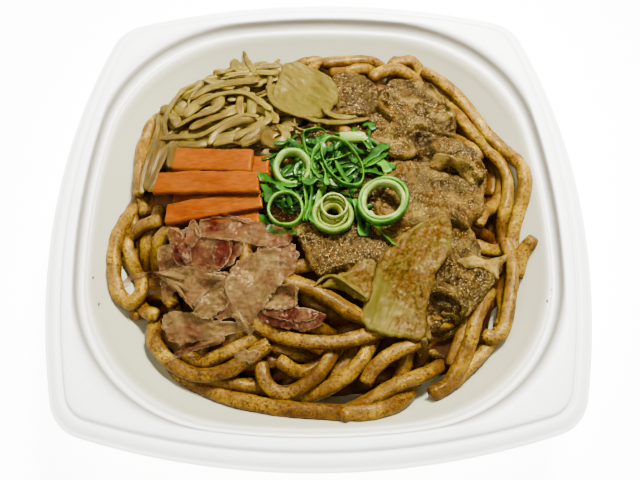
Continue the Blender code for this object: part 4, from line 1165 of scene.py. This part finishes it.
cabbage = {
    "spacing": 0.7, "thickness": 1.0, "soft": 0.7, "ragged": (5.0, 1.0), "seed": 4,
    "pale": (0.0671, 0.052, 0.0053), "leaf": (0.0742, 0.0534, 0.0056), "brown": (0.0625, 0.0366, 0.0037),
    "sauce": (0.0519, 0.0205, 0.0014), "ribs": ((2.6, 0.5), (1.1, 0.25)),
    # CAD node, outline, lift above the solids, depth of its folds, stains (x, y, radius), way of its ribs
    "leaves": (
        ("cabbage_2", ((-14, 71), (-16, 63), (-17.5, 55), (-19.5, 49), (-18, 43.5), (-12, 38), (-5, 34),
                       (1, 33.5), (5, 37), (8.5, 43), (8.5, 51), (7, 57), (4, 61), (1, 64), (-3, 67),
                       (-8, 71)), 0.0, 0.8, ((8, 40, 3),), -50),
        ("cabbage_3", ((1, -38.5), (4, -35.5), (9, -33.5), (14, -30), (19, -28.5), (21, -31), (19.5, -37),
                       (17.5, -43), (13, -42), (9, -39.8), (5, -38.8)), 0.0, 0.5,
         ((16, -32, 6), (17, -39, 5)), 30),
        ("cabbage_1", ((15, -50.5), (15.8, -45), (18, -38.5), (21, -31), (24.5, -24.5), (29, -19.5),
                       (34, -16), (39, -12.5), (44, -10), (49, -9), (50, -16), (48, -24), (43, -32),
                       (40, -40), (38, -47), (38, -53), (34, -56), (26, -55.5), (20, -54)), 0.0, 0.7,
         ((26, -30, 8), (31, -24, 7), (32, -37, 8), (41, -25, 12), (46, -15, 8), (43, -34, 9), (38, -44, 9),
          (36, -52, 7), (30, -50, 4)), 70),
    ),
    "rimSides": 12, "rimSquareness": 2.2,
    # rims and curls: centre line, half width, half thickness, roll in degrees, lift
    "rims": (
        (((-18, 55), (-19.5, 49), (-17.5, 43), (-12, 38), (-6, 34.5), (0, 32), (7, 31), (14, 31.5),
          (21, 33.5)), 1.7, 0.8, 30, 0.3),
        (((2, 40), (5, 36), (9, 34), (15, 34)), 1.5, 0.7, 0, 0.0),
        (((-1.5, -38.5), (2, -35.5), (6, -34.8), (10, -37), (15, -40.5), (17, -42.5)), 1.1, 0.6, 50, 0.5),
    ),
}


def cabbageMaterial():
    material, tree, shader = newMaterial("cookedCabbage", Specular_IOR_Level=0.08, Subsurface_Weight=0.2,
                                         Subsurface_Scale=0.002, Subsurface_Radius=(1.0, 0.8, 0.3))
    colour = rampNode(tree, noiseNode(tree, 10, detail=4, distortion=0.4), (0.3, cabbage["brown"]),
                      (0.46, cabbage["leaf"]), (0.62, cabbage["pale"]))
    ribs = rampNode(tree, noiseNode(tree, 1.3, detail=3, stretch=(1, 0.18, 1)), (0.3, 0.75), (0.7, 1.15))
    colour = timesNode(tree, 0.8, colour, ribs)
    stain = rampNode(tree, noiseNode(tree, 4, detail=5, roughness=0.6), (0.38, 1.0), (0.62, 0.35))
    amount = timesNode(tree, 1.0, stain, attributeNode(tree, "sauce"))
    colour = mixNode(tree, amount, colour, cabbage["sauce"])
    crumbs = rampNode(tree, noiseNode(tree, 1.1, detail=3, roughness=0.65), (0.34, 0.35), (0.5, 0.95),
                      (0.66, 1.7))
    colour = mixNode(tree, attributeNode(tree, "sauce"), colour, timesNode(tree, 1.0, colour, crumbs))
    tree.links.new(colour, shader.inputs["Base Color"])
    mottledGloss(tree, shader, 2, 0.3, 0.5)
    first = bumpNode(tree, shader, noiseNode(tree, 0.8, detail=3), 0.3, 0.25)
    bumpNode(tree, shader, noiseNode(tree, 1.6, detail=3, stretch=(1, 0.25, 1)), 0.3, 0.3, after=first)
    return material


def makeCabbage(top, nodeTops):
    chance = random.Random(cabbage["seed"])
    material = cabbageMaterial()
    nothing = everywhere(np.inf)
    for number, (node, outline, lift, folds, spots, ribTurn) in enumerate(cabbage["leaves"]):
        plan = sheetPlan(outline, cabbage["spacing"], cabbage["ragged"], chance)
        points, way = plan[0], plan[3]
        base = blurred(spreadOut(nodeTops[node], 40), 4)
        near = [np.exp(-((points[:, 0] - x) ** 2 + (points[:, 1] - y) ** 2) / radius ** 2)
                for x, y, radius in spots]
        sauce = np.clip(2.2 * np.max(near, axis=0) - 0.5 + layered(points, (5, 1.0, "smooth")), 0, 1)

        turned = math.radians(ribTurn)
        along = points @ np.array(((math.cos(turned), -math.sin(turned)),
                                   (math.sin(turned), math.cos(turned))))
        ribs = sum(layered(along * (0.16, 1.0), (size, depth, "ridge")) for size, depth in cabbage["ribs"])

        def relief(points, way):
            return (layered(points, (11, folds, "smooth"), (4, folds * 0.3, "ridge")) + ribs
                    + 0.35 * np.exp(-((way - 0.9) / 0.7) ** 2)
                    + layered(points, (1.4, 0.35, "lump")) * sauce)

        mesh, upper = sheetMesh(f"cabbageLeaf{number + 1}", plan, lambda places: valueAt(base, places) + lift,
                                cabbage["thickness"], cabbage["soft"], relief, {"sauce": sauce})
        addPiece(f"cabbageLeaf{number + 1}", mesh, material, [node])
        stampSheet(top, upper)
    points, faces = [], []
    for layout, wide, thick, roll, lift in cabbage["rims"]:
        path = restStrand(layout, thick, top, nothing, lift)
        line = splinePoints(path, spacing=0.8)
        taper = np.minimum(1, np.minimum(np.arange(len(line)), np.arange(len(line))[::-1]) / 5 + 0.25)
        turn = math.radians(roll) + 0.25 * np.sin(np.arange(len(line)) * 0.23)
        rings = sectionRings(line, wide * taper, thick * taper, turn, cabbage["rimSides"],
                             cabbage["rimSquareness"])
        faces += tubeFaces(len(line), cabbage["rimSides"], sum(len(p) for p in points))
        points.append(rings.reshape(-1, 3))
        stampTop(top, path, thick)
    points = np.vstack(points)
    addPiece("cabbageRims", meshOf("cabbageRims", points, faces, sauce=np.zeros(len(points))), material)


carrot = {
    "voxel": 0.4, "smoothing": 4, "relief": ((9, 0.7, False), (3, 0.2, False)),
    "widened": {"carrot_5": 1.9, "carrot_6": 2.0},   # millimetres added to the front edge
    "orange": (0.109, 0.0223, 0), "deep": (0.0887, 0.0134, 0), "pale": (0.1273, 0.0301, 0),
}


def makeCarrots():
    material, tree, shader = newMaterial("carrot", Specular_IOR_Level=0.14, Specular_Tint=(1, 0.5, 0.1, 1))
    colour = rampNode(tree, noiseNode(tree, 7, detail=3, stretch=(0.5, 1, 1)), (0.3, carrot["deep"]),
                      (0.5, carrot["orange"]), (0.75, carrot["pale"]))
    fibres = rampNode(tree, noiseNode(tree, 0.7, detail=4, stretch=(0.15, 1, 1)), (0.34, 0.72), (0.66, 1.25))
    colour = timesNode(tree, 0.8, colour, fibres)
    tree.links.new(colour, shader.inputs["Base Color"])
    mottledGloss(tree, shader, 3, 0.3, 0.45)
    bumpNode(tree, shader, noiseNode(tree, 0.7, stretch=(0.15, 1, 1)), 0.2, 0.15)
    for node in toppings:
        if node.startswith("carrot"):
            mesh = fineCopy(node, carrot["voxel"], carrot["smoothing"])
            back = max(vertex.co.y for vertex in mesh.vertices)
            front = min(vertex.co.y for vertex in mesh.vertices)
            stretch = 1 + carrot["widened"].get(node, 0) * mm / (back - front)
            for vertex in mesh.vertices:
                vertex.co.y = back + (vertex.co.y - back) * stretch
            roughen(mesh, carrot["relief"])
            addPiece("stick_" + node, mesh, material, [node])


scallion = {
    "steps": 72, "dark": (0.0031, 0.014, 0.0016), "green": (0.0118, 0.0592, 0.0028),
    "bright": (0.0506, 0.1687, 0.0048),
    "pale": (0.1329, 0.2128, 0.0204), "white": (0.2815, 0.3229, 0.0725), "yellow": (0.1251, 0.1394, 0.0082),
    # radius, squash across, height, lean in degrees, leaning towards, lift, and its skins, outermost first:
    # (share of the radius, wall at the top, wall at the foot, share of the height, paleness, yellowness)
    "rings": {
        "scallion_1": (7.9, 0.97, 3.6, 10, 290, 1.2, ((1.0, 1.5, 3.0, 1.0, 0.62, 0.0),)),
        "scallion_2": (7.0, 1.0, 2.8, 8, 250, 0.0, ((1.0, 0.9, 1.2, 1.0, 0.52, 0.0),)),
        "scallion_3": (10.0, 0.92, 3.2, 6, 230, 0.0,
                       ((1.0, 1.2, 1.6, 1.0, 0.42, 0.0), (0.86, 1.2, 2.4, 0.86, 0.68, 0.0))),
        "scallion_4": (7.8, 1.0, 3.0, 5, 270, 0.0,
                       ((1.0, 1.7, 2.2, 1.0, 0.52, 0.7), (0.74, 1.0, 1.4, 0.86, 0.75, 0.9),
                        (0.57, 0.7, 2.2, 0.7, 0.8, 1.0))),
        "scallion_5": (5.1, 1.0, 2.6, 10, 270, 0.0, ((1.0, 0.6, 0.9, 1.0, 0.95, 0.0),)),
        "scallion_6": (13.4, 0.5, 2.4, 7, 113, 0.6, ((1.0, 0.8, 1.0, 1.0, 0.4, 0.0),)),
        "scallion_7": (2.4, 1.0, 10, 86, 0, 0.0,
                       ((1.0, 0.9, 1.0, 1.0, 0.95, 0.0), (0.55, 0.7, 0.8, 0.97, 1.0, 0.0))),
    },
    # green shreds: centre line, half width, paleness, roll in degrees
    "shreds": (
        (((-22.5, 6.5), (-18, 3.5), (-13, 1.8), (-8, 2), (-3.5, 5)), 2.3, 0.16, 20),
        (((-21, 3), (-18.5, -1), (-18, -6)), 1.7, 0.12, 10),
        (((-21, -11), (-18.5, -16), (-13, -19), (-7.5, -18.5)), 1.9, 0.17, 15),
        (((-15, 2), (-12.5, -1), (-9, -2)), 1.3, 0.2, 30),
        (((-5, 13), (-4.5, 6), (-4.5, 0), (-4, -7), (-5, -14)), 1.3, 0.33, 55),
        (((-2.5, 7), (-2, 0), (-2.5, -7), (-4, -14)), 1.0, 0.22, 50),
        (((3, 1), (0.5, -4), (-0.5, -10), (-2, -15)), 1.3, 0.5, 35),
        (((-7, 5), (-3, 2), (0, 4), (4, 1)), 1.2, 0.1, 10),
        (((-1, 8), (-3.5, 14), (-5.3, 20), (-5, 26), (0, 27.7), (4, 26)), 1.0, 0.22, 70),
        (((3, 22), (-1, 16), (-2, 9), (1, 4)), 1.1, 0.26, 60),
        (((-1, 14), (3, 8), (3.5, 1)), 1.2, 0.3, 45),
        (((7, 24.8), (12, 23.8), (17, 22), (20.5, 17.5)), 1.2, 0.32, 55),
        (((4, 12), (9, 13.5), (14, 16)), 0.9, 0.4, 70),
        (((5, 6), (9, 9), (15, 10)), 1.0, 0.1, 20),
        (((6, 3), (10, 5), (14.5, 9)), 1.0, 0.14, 25),
        (((7, 12), (9.5, 6), (12, 2)), 1.0, 0.18, 35),
        (((1, 22), (2.5, 18), (1, 12)), 1.2, 0.14, 15),
        (((16, 7), (20, 7.5), (25, 6)), 1.3, 0.16, 20),
        (((21, 12.5), (25, 11), (27, 7)), 1.8, 0.4, 15),
        (((16, 9.5), (20, 13.5), (25, 18.5), (28.5, 19.5)), 2.1, 0.13, 25),
        (((18, 9), (22, 12), (27, 16.5)), 1.6, 0.18, 40),
        (((18, 29.5), (21, 30.3), (22.5, 27)), 1.4, 0.1, 10),
        (((14, -5), (15, -12), (16, -20)), 1.5, 0.27, 30),
        (((17, -9), (18.5, -14), (17.5, -20)), 1.1, 0.16, 15),
        (((15, -7), (19, -13), (24, -19), (28, -23)), 1.3, 0.25, 35),
        (((-3, -12), (0, -15.5), (4, -17)), 1.2, 0.2, 15),
    ),
    "clear": ((24, -5, 8), (6, -9, 5), (26, 24, 5)), "litter": 100,
    "shredBody": 0.7, "shredThickness": 0.32, "shredSides": 10, "shredFold": 0.25,
    "shredSquareness": 2.2, "seed": 3,
    "litterArea": (-17, 25, -11, 24), "litterLength": (8, 15), "litterWidth": (0.7, 1.25),
}


def scallionMaterial():
    material, tree, shader = newMaterial("scallion", Specular_IOR_Level=0.18,
                                         Specular_Tint=(0.9, 1, 0.6, 1), Subsurface_Weight=0.12,
                                         Subsurface_Scale=0.001, Subsurface_Radius=(0.5, 1.0, 0.25))
    colour = rampNode(tree, attributeNode(tree, "pale"), (0.0, scallion["dark"]), (0.2, scallion["green"]),
                      (0.45, scallion["bright"]), (0.72, scallion["pale"]), (1.0, scallion["white"]))
    colour = mixNode(tree, attributeNode(tree, "yellow"), colour, scallion["yellow"])
    veins = rampNode(tree, noiseNode(tree, 0.7, detail=3, source="grain"), (0.3, 0.65), (0.68, 1.3))
    colour = timesNode(tree, 0.9, colour, veins)
    blotch = rampNode(tree, noiseNode(tree, 3, detail=3), (0.3, 0.7), (0.7, 1.2))
    colour = timesNode(tree, 0.8, colour, blotch)
    tree.links.new(colour, shader.inputs["Base Color"])
    mottledGloss(tree, shader, 1.5, 0.2, 0.4)
    bumpNode(tree, shader, noiseNode(tree, 0.6, detail=2, source="grain"), 0.3, 0.15)
    return material


# one skin of a scallion slice, a short tube with a soft rim and an uneven outline
def ringSkin(radius, wallTop, wallFoot, height, wobble, chance):
    steps = scallion["steps"]
    phase = [chance.uniform(0, 6.28) for _ in range(3)]
    # share from the outer face to the inner one, and the height there
    section = ((0.0, 0.0), (0.0, 0.5), (0.02, 0.86), (0.3, 1.0), (0.7, 1.0), (0.98, 0.84), (1.0, 0.5),
               (1.0, 0.0))
    points, faces, grain = [], [], []
    for k in range(steps):
        angle = 2 * math.pi * k / steps
        out = radius * (1 + wobble * (math.sin(2 * angle + phase[0]) + 0.5 * math.sin(3 * angle + phase[1])
                                      + 0.25 * math.sin(7 * angle + phase[2])))
        tilt = 0.08 * height * math.sin(angle + phase[2]) + 0.04 * height * math.sin(5 * angle + phase[0])
        for share, high in section:
            wall = wallFoot + (wallTop - wallFoot) * high
            r = out - share * wall - 0.3 * high
            points.append((r * math.cos(angle), r * math.sin(angle), (high - 0.5) * height + tilt * high))
            grain.append((share * 2, angle * radius * 1.6, high * 0.4))
    count = len(section)
    for k in range(steps):
        for s in range(count):
            a = k * count + s
            b = k * count + (s + 1) % count
            c = ((k + 1) % steps) * count + (s + 1) % count
            d = ((k + 1) % steps) * count + s
            faces.append((a, d, c, b))
    return points, faces, grain


def makeScallions(top, ringFloor):
    material = scallionMaterial()
    chance = random.Random(scallion["seed"])
    low0, high0, low1, high1 = scallion["litterArea"]
    shreds = []
    for _ in range(scallion["litter"]):
        x, y = chance.uniform(low0, high0), chance.uniform(low1, high1)
        heading, length = chance.uniform(0, math.pi), chance.uniform(*scallion["litterLength"])
        bend = chance.uniform(-0.12, 0.12)
        line = [(x + math.cos(heading + bend * t) * t, y + math.sin(heading + bend * t) * t)
                for t in (-length / 2, -length / 4, 0, length / 4, length / 2)]
        if min(math.hypot(x - a, y - b) - r for a, b, r in scallion["clear"]) > 0:
            shreds.append((line, chance.uniform(*scallion["litterWidth"]), chance.uniform(0.0, 0.17),
                           chance.uniform(0, 40)))
    shreds += scallion["shreds"]
    points, faces, pale, grain = [], [], [], []
    count = 0
    sides = scallion["shredSides"]
    for line, wide, paleness, roll in shreds:
        path = restStrand(line, scallion["shredBody"], top, ringFloor, 0.1)
        stampTop(top, path, scallion["shredBody"])
        line = splinePoints(path, spacing=0.7)
        steps = np.arange(len(line))
        taper = np.minimum(1, np.minimum(steps, steps[::-1]) / 2.5 + 0.5)
        turn = math.radians(roll) + 0.3 * np.sin(steps * chance.uniform(0.1, 0.3) + chance.uniform(0, 6))
        wavy = 1 + 0.1 * np.sin(steps * 0.7 + chance.uniform(0, 6))
        rings = sectionRings(line, wide * taper * wavy, scallion["shredThickness"] * (0.5 + 0.5 * taper),
                             turn, sides, scallion["shredSquareness"])
        # the leaf is folded along its middle
        fold = np.linalg.norm(rings - line[:, None, :], axis=2)
        rings[..., 2] += scallion["shredFold"] * fold * np.minimum(1, wide / 1.5)
        faces += tubeFaces(len(line), sides, count)
        points.append(rings.reshape(-1, 3))
        angle = np.linspace(0, 2 * math.pi, sides, endpoint=False)
        across = np.broadcast_to(np.cos(angle), (len(line), sides))
        pale.append(np.clip(paleness + 0.08 * across + 0.05 * np.sin(steps * 0.4)[:, None], 0, 1).ravel())
        grain.append(np.stack((np.broadcast_to(steps[:, None] * 0.12, across.shape), across * wide * 1.6,
                               np.full(across.shape, count * 0.3)), -1).reshape(-1, 3))
        count += len(line) * sides
    points, grain = np.vstack(points), np.vstack(grain)
    slivers = [node for node in toppings if node.startswith("scallion") and node not in scallion["rings"]]
    mesh = meshOf("scallionShreds", points, faces, pale=np.concatenate(pale), yellow=np.zeros(count),
                  grain=grain * mm)
    addPiece("scallionShreds", mesh, material, slivers)
    for node, (radius, squash, height, lean, towards, lift, skins) in scallion["rings"].items():
        points, faces, pale, yellow, grain = [], [], [], [], []
        for share, wallTop, wallFoot, high, paleness, yellowness in skins:
            ring, quads, marks = ringSkin(radius * share, wallTop, wallFoot, height * high, 0.02, chance)
            faces += [tuple(k + len(points) for k in quad) for quad in quads]
            points += ring
            grain += marks
            shift = chance.uniform(0, 6)
            for k, (across, along, _) in enumerate(marks):
                greener = 0.16 * (1 - across / 2) * (share > 0.95) + 0.07 * math.sin(along * 0.35 + shift)
                pale.append(min(1.0, max(0.0, paleness - greener + 0.08 * across)))
                yellow.append(yellowness * (0.5 + 0.25 * across))
        shaped = (Matrix.Rotation(math.radians(towards), 3, 'Z') @ Matrix.Rotation(math.radians(lean), 3, 'Y')
                  @ Matrix.Diagonal((1, squash, 1)))
        points = np.array(points) @ np.array(shaped).T
        low, high = (np.array(corner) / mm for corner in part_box(node))
        points += (low + high) / 2 - (points.min(axis=0) + points.max(axis=0)) / 2
        points[:, 2] += lift
        mesh = meshOf("ring_" + node, points, faces, pale=np.array(pale), yellow=np.array(yellow),
                      grain=np.array(grain) * mm)
        turnFacesOut(mesh)
        addPiece("ring_" + node, mesh, material, [node])


bonito = {
    "spacing": 0.6, "thickness": 0.12, "soft": 0.3, "float": 0.45, "ragged": (2.0, 1.1),
    "opacity": (0.25, 0.78), "sunkAtMost": 3.0, "seed": 8,
    "curlBody": 0.5, "curlThickness": 0.09, "curlSides": 8, "curlSquareness": 2.2,
    "beige": (0.1165, 0.0671, 0.0184), "pink": (0.0861, 0.0353, 0.0113), "red": (0.0327, 0.0012, 0.0006),
    # edge is the pale colour of the thin rims: painted highlight, partly the flakes' own paler edge
    "edge": (0.3053, 0.2062, 0.0857),
    # CAD node or none, outline from above, lift of the rim, and how red it is
    "flakes": (
        (None, ((-60, -21), (-56, -19), (-51, -23), (-49, -30), (-52, -38), (-56, -40), (-58, -32)), 0.3,
         0.3),
        (None, ((-54, -17), (-47, -13), (-38, -14), (-30, -18), (-27, -25), (-34, -31), (-43, -32),
                (-51, -28)), 0.3, 0.6),
        (None, ((-46, -34), (-38, -32), (-29, -34), (-25, -41), (-29, -48), (-38, -48), (-45, -43)), 0.3,
         0.35),
        (None, ((-20, -22), (-12, -20), (-7, -26), (-9, -34), (-15, -37), (-21, -31)), 0.3, 0.5),
        (None, ((-22, -46), (-15, -45), (-8, -46), (-1, -46.5), (3, -49), (-3, -53), (-11, -52.5),
                (-19, -50.5)), 0.2, 0.95),
        ("bonito_5", ((-19, -45.5), (-10, -45), (0, -47), (-3, -50), (-12, -49.5), (-18, -48)), 0.5, 0.8),
        ("bonito_1", ((-56, -46), (-50, -44.5), (-42, -46.5), (-35, -49), (-28, -50), (-25, -52.5),
                      (-33, -54), (-42, -55.5), (-50, -55.5), (-55, -51)), 0.5, 0.2),
        (None, ((-51, -58.5), (-45, -57), (-38, -54.5), (-33, -54), (-34, -56.5), (-42, -58), (-49, -60)),
         0.5, 0.5),
        ("bonito_3", ((-50, -24), (-45, -20), (-38, -19.5), (-32, -20.5), (-31, -25), (-34, -30.5),
                      (-40, -31.5), (-46, -29.5)), 0.8, 0.6),
        (None, ((-38, -20), (-33, -20), (-31.5, -25), (-33, -30), (-37, -29)), 0.2, 1.0),
        ("bonito_4", ((-45.5, -13), (-40, -10.5), (-31, -11), (-22, -13.5), (-12, -17), (-9, -21), (-15, -24),
                      (-24, -22.5), (-32, -20.5), (-40, -18.5), (-44, -17)), 1.0, 0.5),
        ("bonito_2", ((-59, -30), (-51, -29), (-44, -28.5), (-38, -31), (-35, -33.5), (-39, -38),
                      (-44, -43.5), (-49, -40), (-54, -35)), 1.8, 0.2),
        ("bonito_6", ((-20, -38), (-14, -37.5), (-7.5, -37.5), (-8, -45), (-13, -46), (-19, -45)), 0.6, 0.1),
        ("bonito_8", ((-30.5, -31), (-27, -27.5), (-21, -25), (-14.5, -24.5), (-13.5, -30), (-12, -36),
                      (-15, -40), (-19, -45), (-24, -51), (-27.5, -47), (-31, -42), (-33, -37)), 2.0, 0.05),
        ("bonito_7", ((-38.5, -40.5), (-33, -40), (-32, -44), (-39, -48), (-44, -45.5)), 1.6, 0.0),
        (None, ((-31, -41), (-29, -43), (-27.5, -47), (-22, -52.5), (-24, -54), (-28.5, -50), (-31.5, -45)),
         1.5, 0.0),
        (None, ((-29, -59.5), (-24, -59), (-20, -60.5), (-23, -63), (-28, -62)), 0.7, 0.15),
        (None, ((-56, -12), (-51, -16), (-48, -23), (-46, -26), (-48.5, -27), (-52, -22), (-56, -16)), 0.8,
         0.75),
        (None, ((-41, -32), (-34, -33.5), (-34, -35), (-40, -34)), 0.8, 0.0),
        (None, ((-48, -11), (-45, -12), (-43, -17), (-46, -22), (-49, -18)), 1.0, 0.6),
    ),
    # thin curls: centre line, half width, how red, lift
    "curls": (
        (((-74, -33), (-71, -30), (-66, -28.8), (-60, -29), (-54, -30.5), (-48, -33)), 1.3, 0.2, 0.6),
        (((-56, -32), (-51, -36), (-47, -41), (-44.5, -44.5)), 0.7, 0.0, 1.2),
        (((-62, -30.5), (-56, -32), (-50, -35), (-46, -38)), 0.7, 0.15, 1.0),
        (((-31.5, -34), (-32.5, -38), (-31, -42), (-28, -47), (-24, -52.5)), 0.5, 0.0, 1.5),
        (((-8, -38), (-7.6, -41), (-8, -45.5)), 0.5, 0.0, 0.8),
        (((-45.5, -13), (-44, -17), (-38, -18.5), (-31, -20)), 0.4, 0.0, 0.8),
        (((-52, -28), (-47, -27), (-42, -28.5), (-35, -31)), 0.6, 0.7, 0.5),
        (((-37, -9), (-31, -11), (-24, -14)), 0.4, 0.9, 0.6),
        (((-50, -59.5), (-43, -57), (-34, -55)), 0.5, 0.3, 0.8),
    ),
}


def bonitoMaterial():
    material, tree, shader = newMaterial("bonitoFlake", Specular_IOR_Level=0.2, Roughness=0.35)
    zones = rampNode(tree, noiseNode(tree, 8, detail=4, distortion=0.6), (0.35, 0.4), (0.62, -0.05))
    redness = mixNode(tree, 1.0, attributeNode(tree, "red"), zones, 'ADD')
    colour = rampNode(tree, redness, (0.1, bonito["beige"]), (0.6, bonito["pink"]), (1.1, bonito["red"]))
    fibres = rampNode(tree, noiseNode(tree, 1.3, detail=5, roughness=0.65, stretch=(0.25, 1, 1)), (0.34, 0.5),
                      (0.66, 1.6))
    colour = timesNode(tree, 0.9, colour, fibres)
    # painted highlight, partly the flakes' own paler edge: pale patches along the thin rims
    rim = rampNode(tree, attributeNode(tree, "way"), (0.05, 0.85), (0.35, 0.0))
    rim = timesNode(tree, 1.0, rim, rampNode(tree, noiseNode(tree, 6), (0.42, 0.0), (0.58, 1.0)))
    colour = mixNode(tree, rim, colour, bonito["edge"])
    tree.links.new(colour, shader.inputs["Base Color"])
    low, high = bonito["opacity"]
    tree.links.new(rampNode(tree, noiseNode(tree, 7, detail=3), (0.38, low), (0.62, high)),
                   shader.inputs["Alpha"])
    bumpNode(tree, shader, noiseNode(tree, 1.0, detail=3, stretch=(0.3, 1, 1)), 0.5, 0.25)
    return material


def makeBonito(top):
    chance = random.Random(bonito["seed"])
    material = bonitoMaterial()
    for number, (node, outline, lift, redness) in enumerate(bonito["flakes"]):
        soft = blurred(widened(np.maximum(top, lid - bonito["sunkAtMost"]), 3), 5)
        plan = sheetPlan(outline, bonito["spacing"], bonito["ragged"], chance)
        phase = chance.uniform(0, 6)
        middle = plan[0].mean(axis=0)

        def relief(points, way):
            turn = np.arctan2(points[:, 1] - middle[1], points[:, 0] - middle[0])
            curl = lift * np.clip(1 - way / 4, 0, 1) ** 1.5 * (0.5 + 0.5 * np.sin(3 * turn + phase)) ** 2
            return curl + layered(points, (5, 0.6, "smooth"), (2.4, 0.45, "ridge"), (1.1, 0.15, "ridge"))

        red = np.clip(redness + layered(plan[0], (7, 0.5, "smooth")), 0, 1)
        mesh, upper = sheetMesh(f"flake{number + 1}", plan,
                                lambda places: valueAt(soft, places) + bonito["float"],
                                bonito["thickness"], bonito["soft"], relief, {"red": red})
        addPiece(f"flake{number + 1}", mesh, material, [node] if node else ())
        stampSheet(top, upper)
    points, faces, red, way = [], [], [], []
    count = 0
    sides = bonito["curlSides"]
    nothing = everywhere(np.inf)
    for layout, wide, redness, lift in bonito["curls"]:
        path = restStrand(layout, bonito["curlBody"], top, nothing, lift)
        line = splinePoints(path, spacing=0.6)
        steps = np.arange(len(line))
        taper = np.minimum(1, np.minimum(steps, steps[::-1]) / 4 + 0.1)
        turn = 0.4 + 0.8 * np.sin(steps * 0.15 + chance.uniform(0, 6))
        rings = sectionRings(line, wide * taper, np.full(len(line), bonito["curlThickness"]), turn, sides,
                             bonito["curlSquareness"])
        faces += tubeFaces(len(line), sides, count)
        points.append(rings.reshape(-1, 3))
        count += sides * len(line)
        red += [redness] * (sides * len(line))
        way += [0.4] * (sides * len(line))
    addPiece("bonitoCurls",
             meshOf("bonitoCurls", np.vstack(points), faces, red=np.array(red), way=np.array(way)),
             material)


studio = {
    "floor": (0.95, 0.95, 0.94), "floorSize": 4, "floorMottle": 200, "floorGlow": 8.5,
    "sky": (1.0, 0.99, 0.97), "skyStrength": 0.3,
    # name, place and aim in millimetres, size, watts, spread in degrees
    "lamps": (("key", (110, 170, 480), (10, 80, 30), 130, 4.1, 85),
              ("front", (-120, -300, 640), (0, 0, 30), 260, 3.1, 180),
              ("side", (-420, 160, 560), (0, 0, 30), 220, 2.2, 180)),
}


def makeStudio():
    bpy.ops.mesh.primitive_plane_add(size=studio["floorSize"], location=(0, 0, -0.0002))
    floor = bpy.context.object
    floor.name = "floor"
    material, tree, shader = newMaterial("paleFloor", Roughness=0.9, Specular_IOR_Level=0.2,
                                         Specular_Tint=(1, 1, 1, 1),
                                         Emission_Color=(1, 1, 1, 1), Emission_Strength=studio["floorGlow"])
    tree.links.new(rampNode(tree, noiseNode(tree, studio["floorMottle"]),
                            (0.3, tuple(0.985 * v for v in studio["floor"])),
                            (0.7, studio["floor"])), shader.inputs["Base Color"])
    floor.data.materials.append(material)
    for name, place, aimed, size, watts, spread in studio["lamps"]:
        lamp = bpy.data.lights.new(name, 'AREA')
        lamp.shape = 'DISK'
        lamp.size = size * mm
        lamp.energy = watts
        lamp.spread = math.radians(spread)
        holder = bpy.data.objects.new(name, lamp)
        holder.location = [v * mm for v in place]
        aim = Vector(aimed) * mm - holder.location
        holder.rotation_euler = aim.to_track_quat('-Z', 'Y').to_euler()
        bpy.context.scene.collection.objects.link(holder)
    world = bpy.data.worlds.new("studio")
    world.use_nodes = True
    world.node_tree.nodes["Background"].inputs["Color"].default_value = (*studio["sky"], 1)
    world.node_tree.nodes["Background"].inputs["Strength"].default_value = studio["skyStrength"]
    bpy.context.scene.world = world


makeCamera()
makeStudio()
print("camera and studio done")
makeTray()
print("tray done")
walls = nodeMaps("tray")[1]
makeSpecks(walls)
gridX, gridY = np.meshgrid(axis, axis, indexing='ij')
lid = moundHeight(gridX, gridY)
ceiling = everywhere(np.inf)
ringFloor = everywhere(np.inf)
nodeTops = {}
for name in toppings:
    low, nodeTops[name] = nodeMaps(name)
    if name in scallion["rings"]:
        ringFloor = np.minimum(ringFloor, low)
    if not name.startswith("bonito"):
        ceiling = np.minimum(ceiling, low)
covered = np.max([nodeTops[name] for name in toppings if not name.startswith("bonito")], axis=0)
cadTop = np.max([nodeTops[name] for name in toppings if name[:4] in ("pork", "cabb")], axis=0)
sproutTop = makeSprouts(lid, ceiling, walls, covered)
print("bean sprouts done")
noodleTop = makeNoodles(lid, ceiling, walls, np.maximum(covered, sproutTop))
makeBed()
print("noodles done")
floorOfHeap = np.where(heapRegion(mound["bedReach"]), lid - mound["bedDepth"], 2.0)
foodTop = np.maximum(np.maximum(noodleTop, sproutTop), floorOfHeap)
makePork(foodTop, nodeTops, cadTop)
makeCabbage(foodTop, nodeTops)
print("pork and cabbage done")
makeCarrots()
for name in toppings:
    if name.startswith("carrot"):
        foodTop = np.maximum(foodTop, nodeTops[name])
makeScallions(foodTop, ringFloor)
makeBonito(foodTop)
print("toppings done")
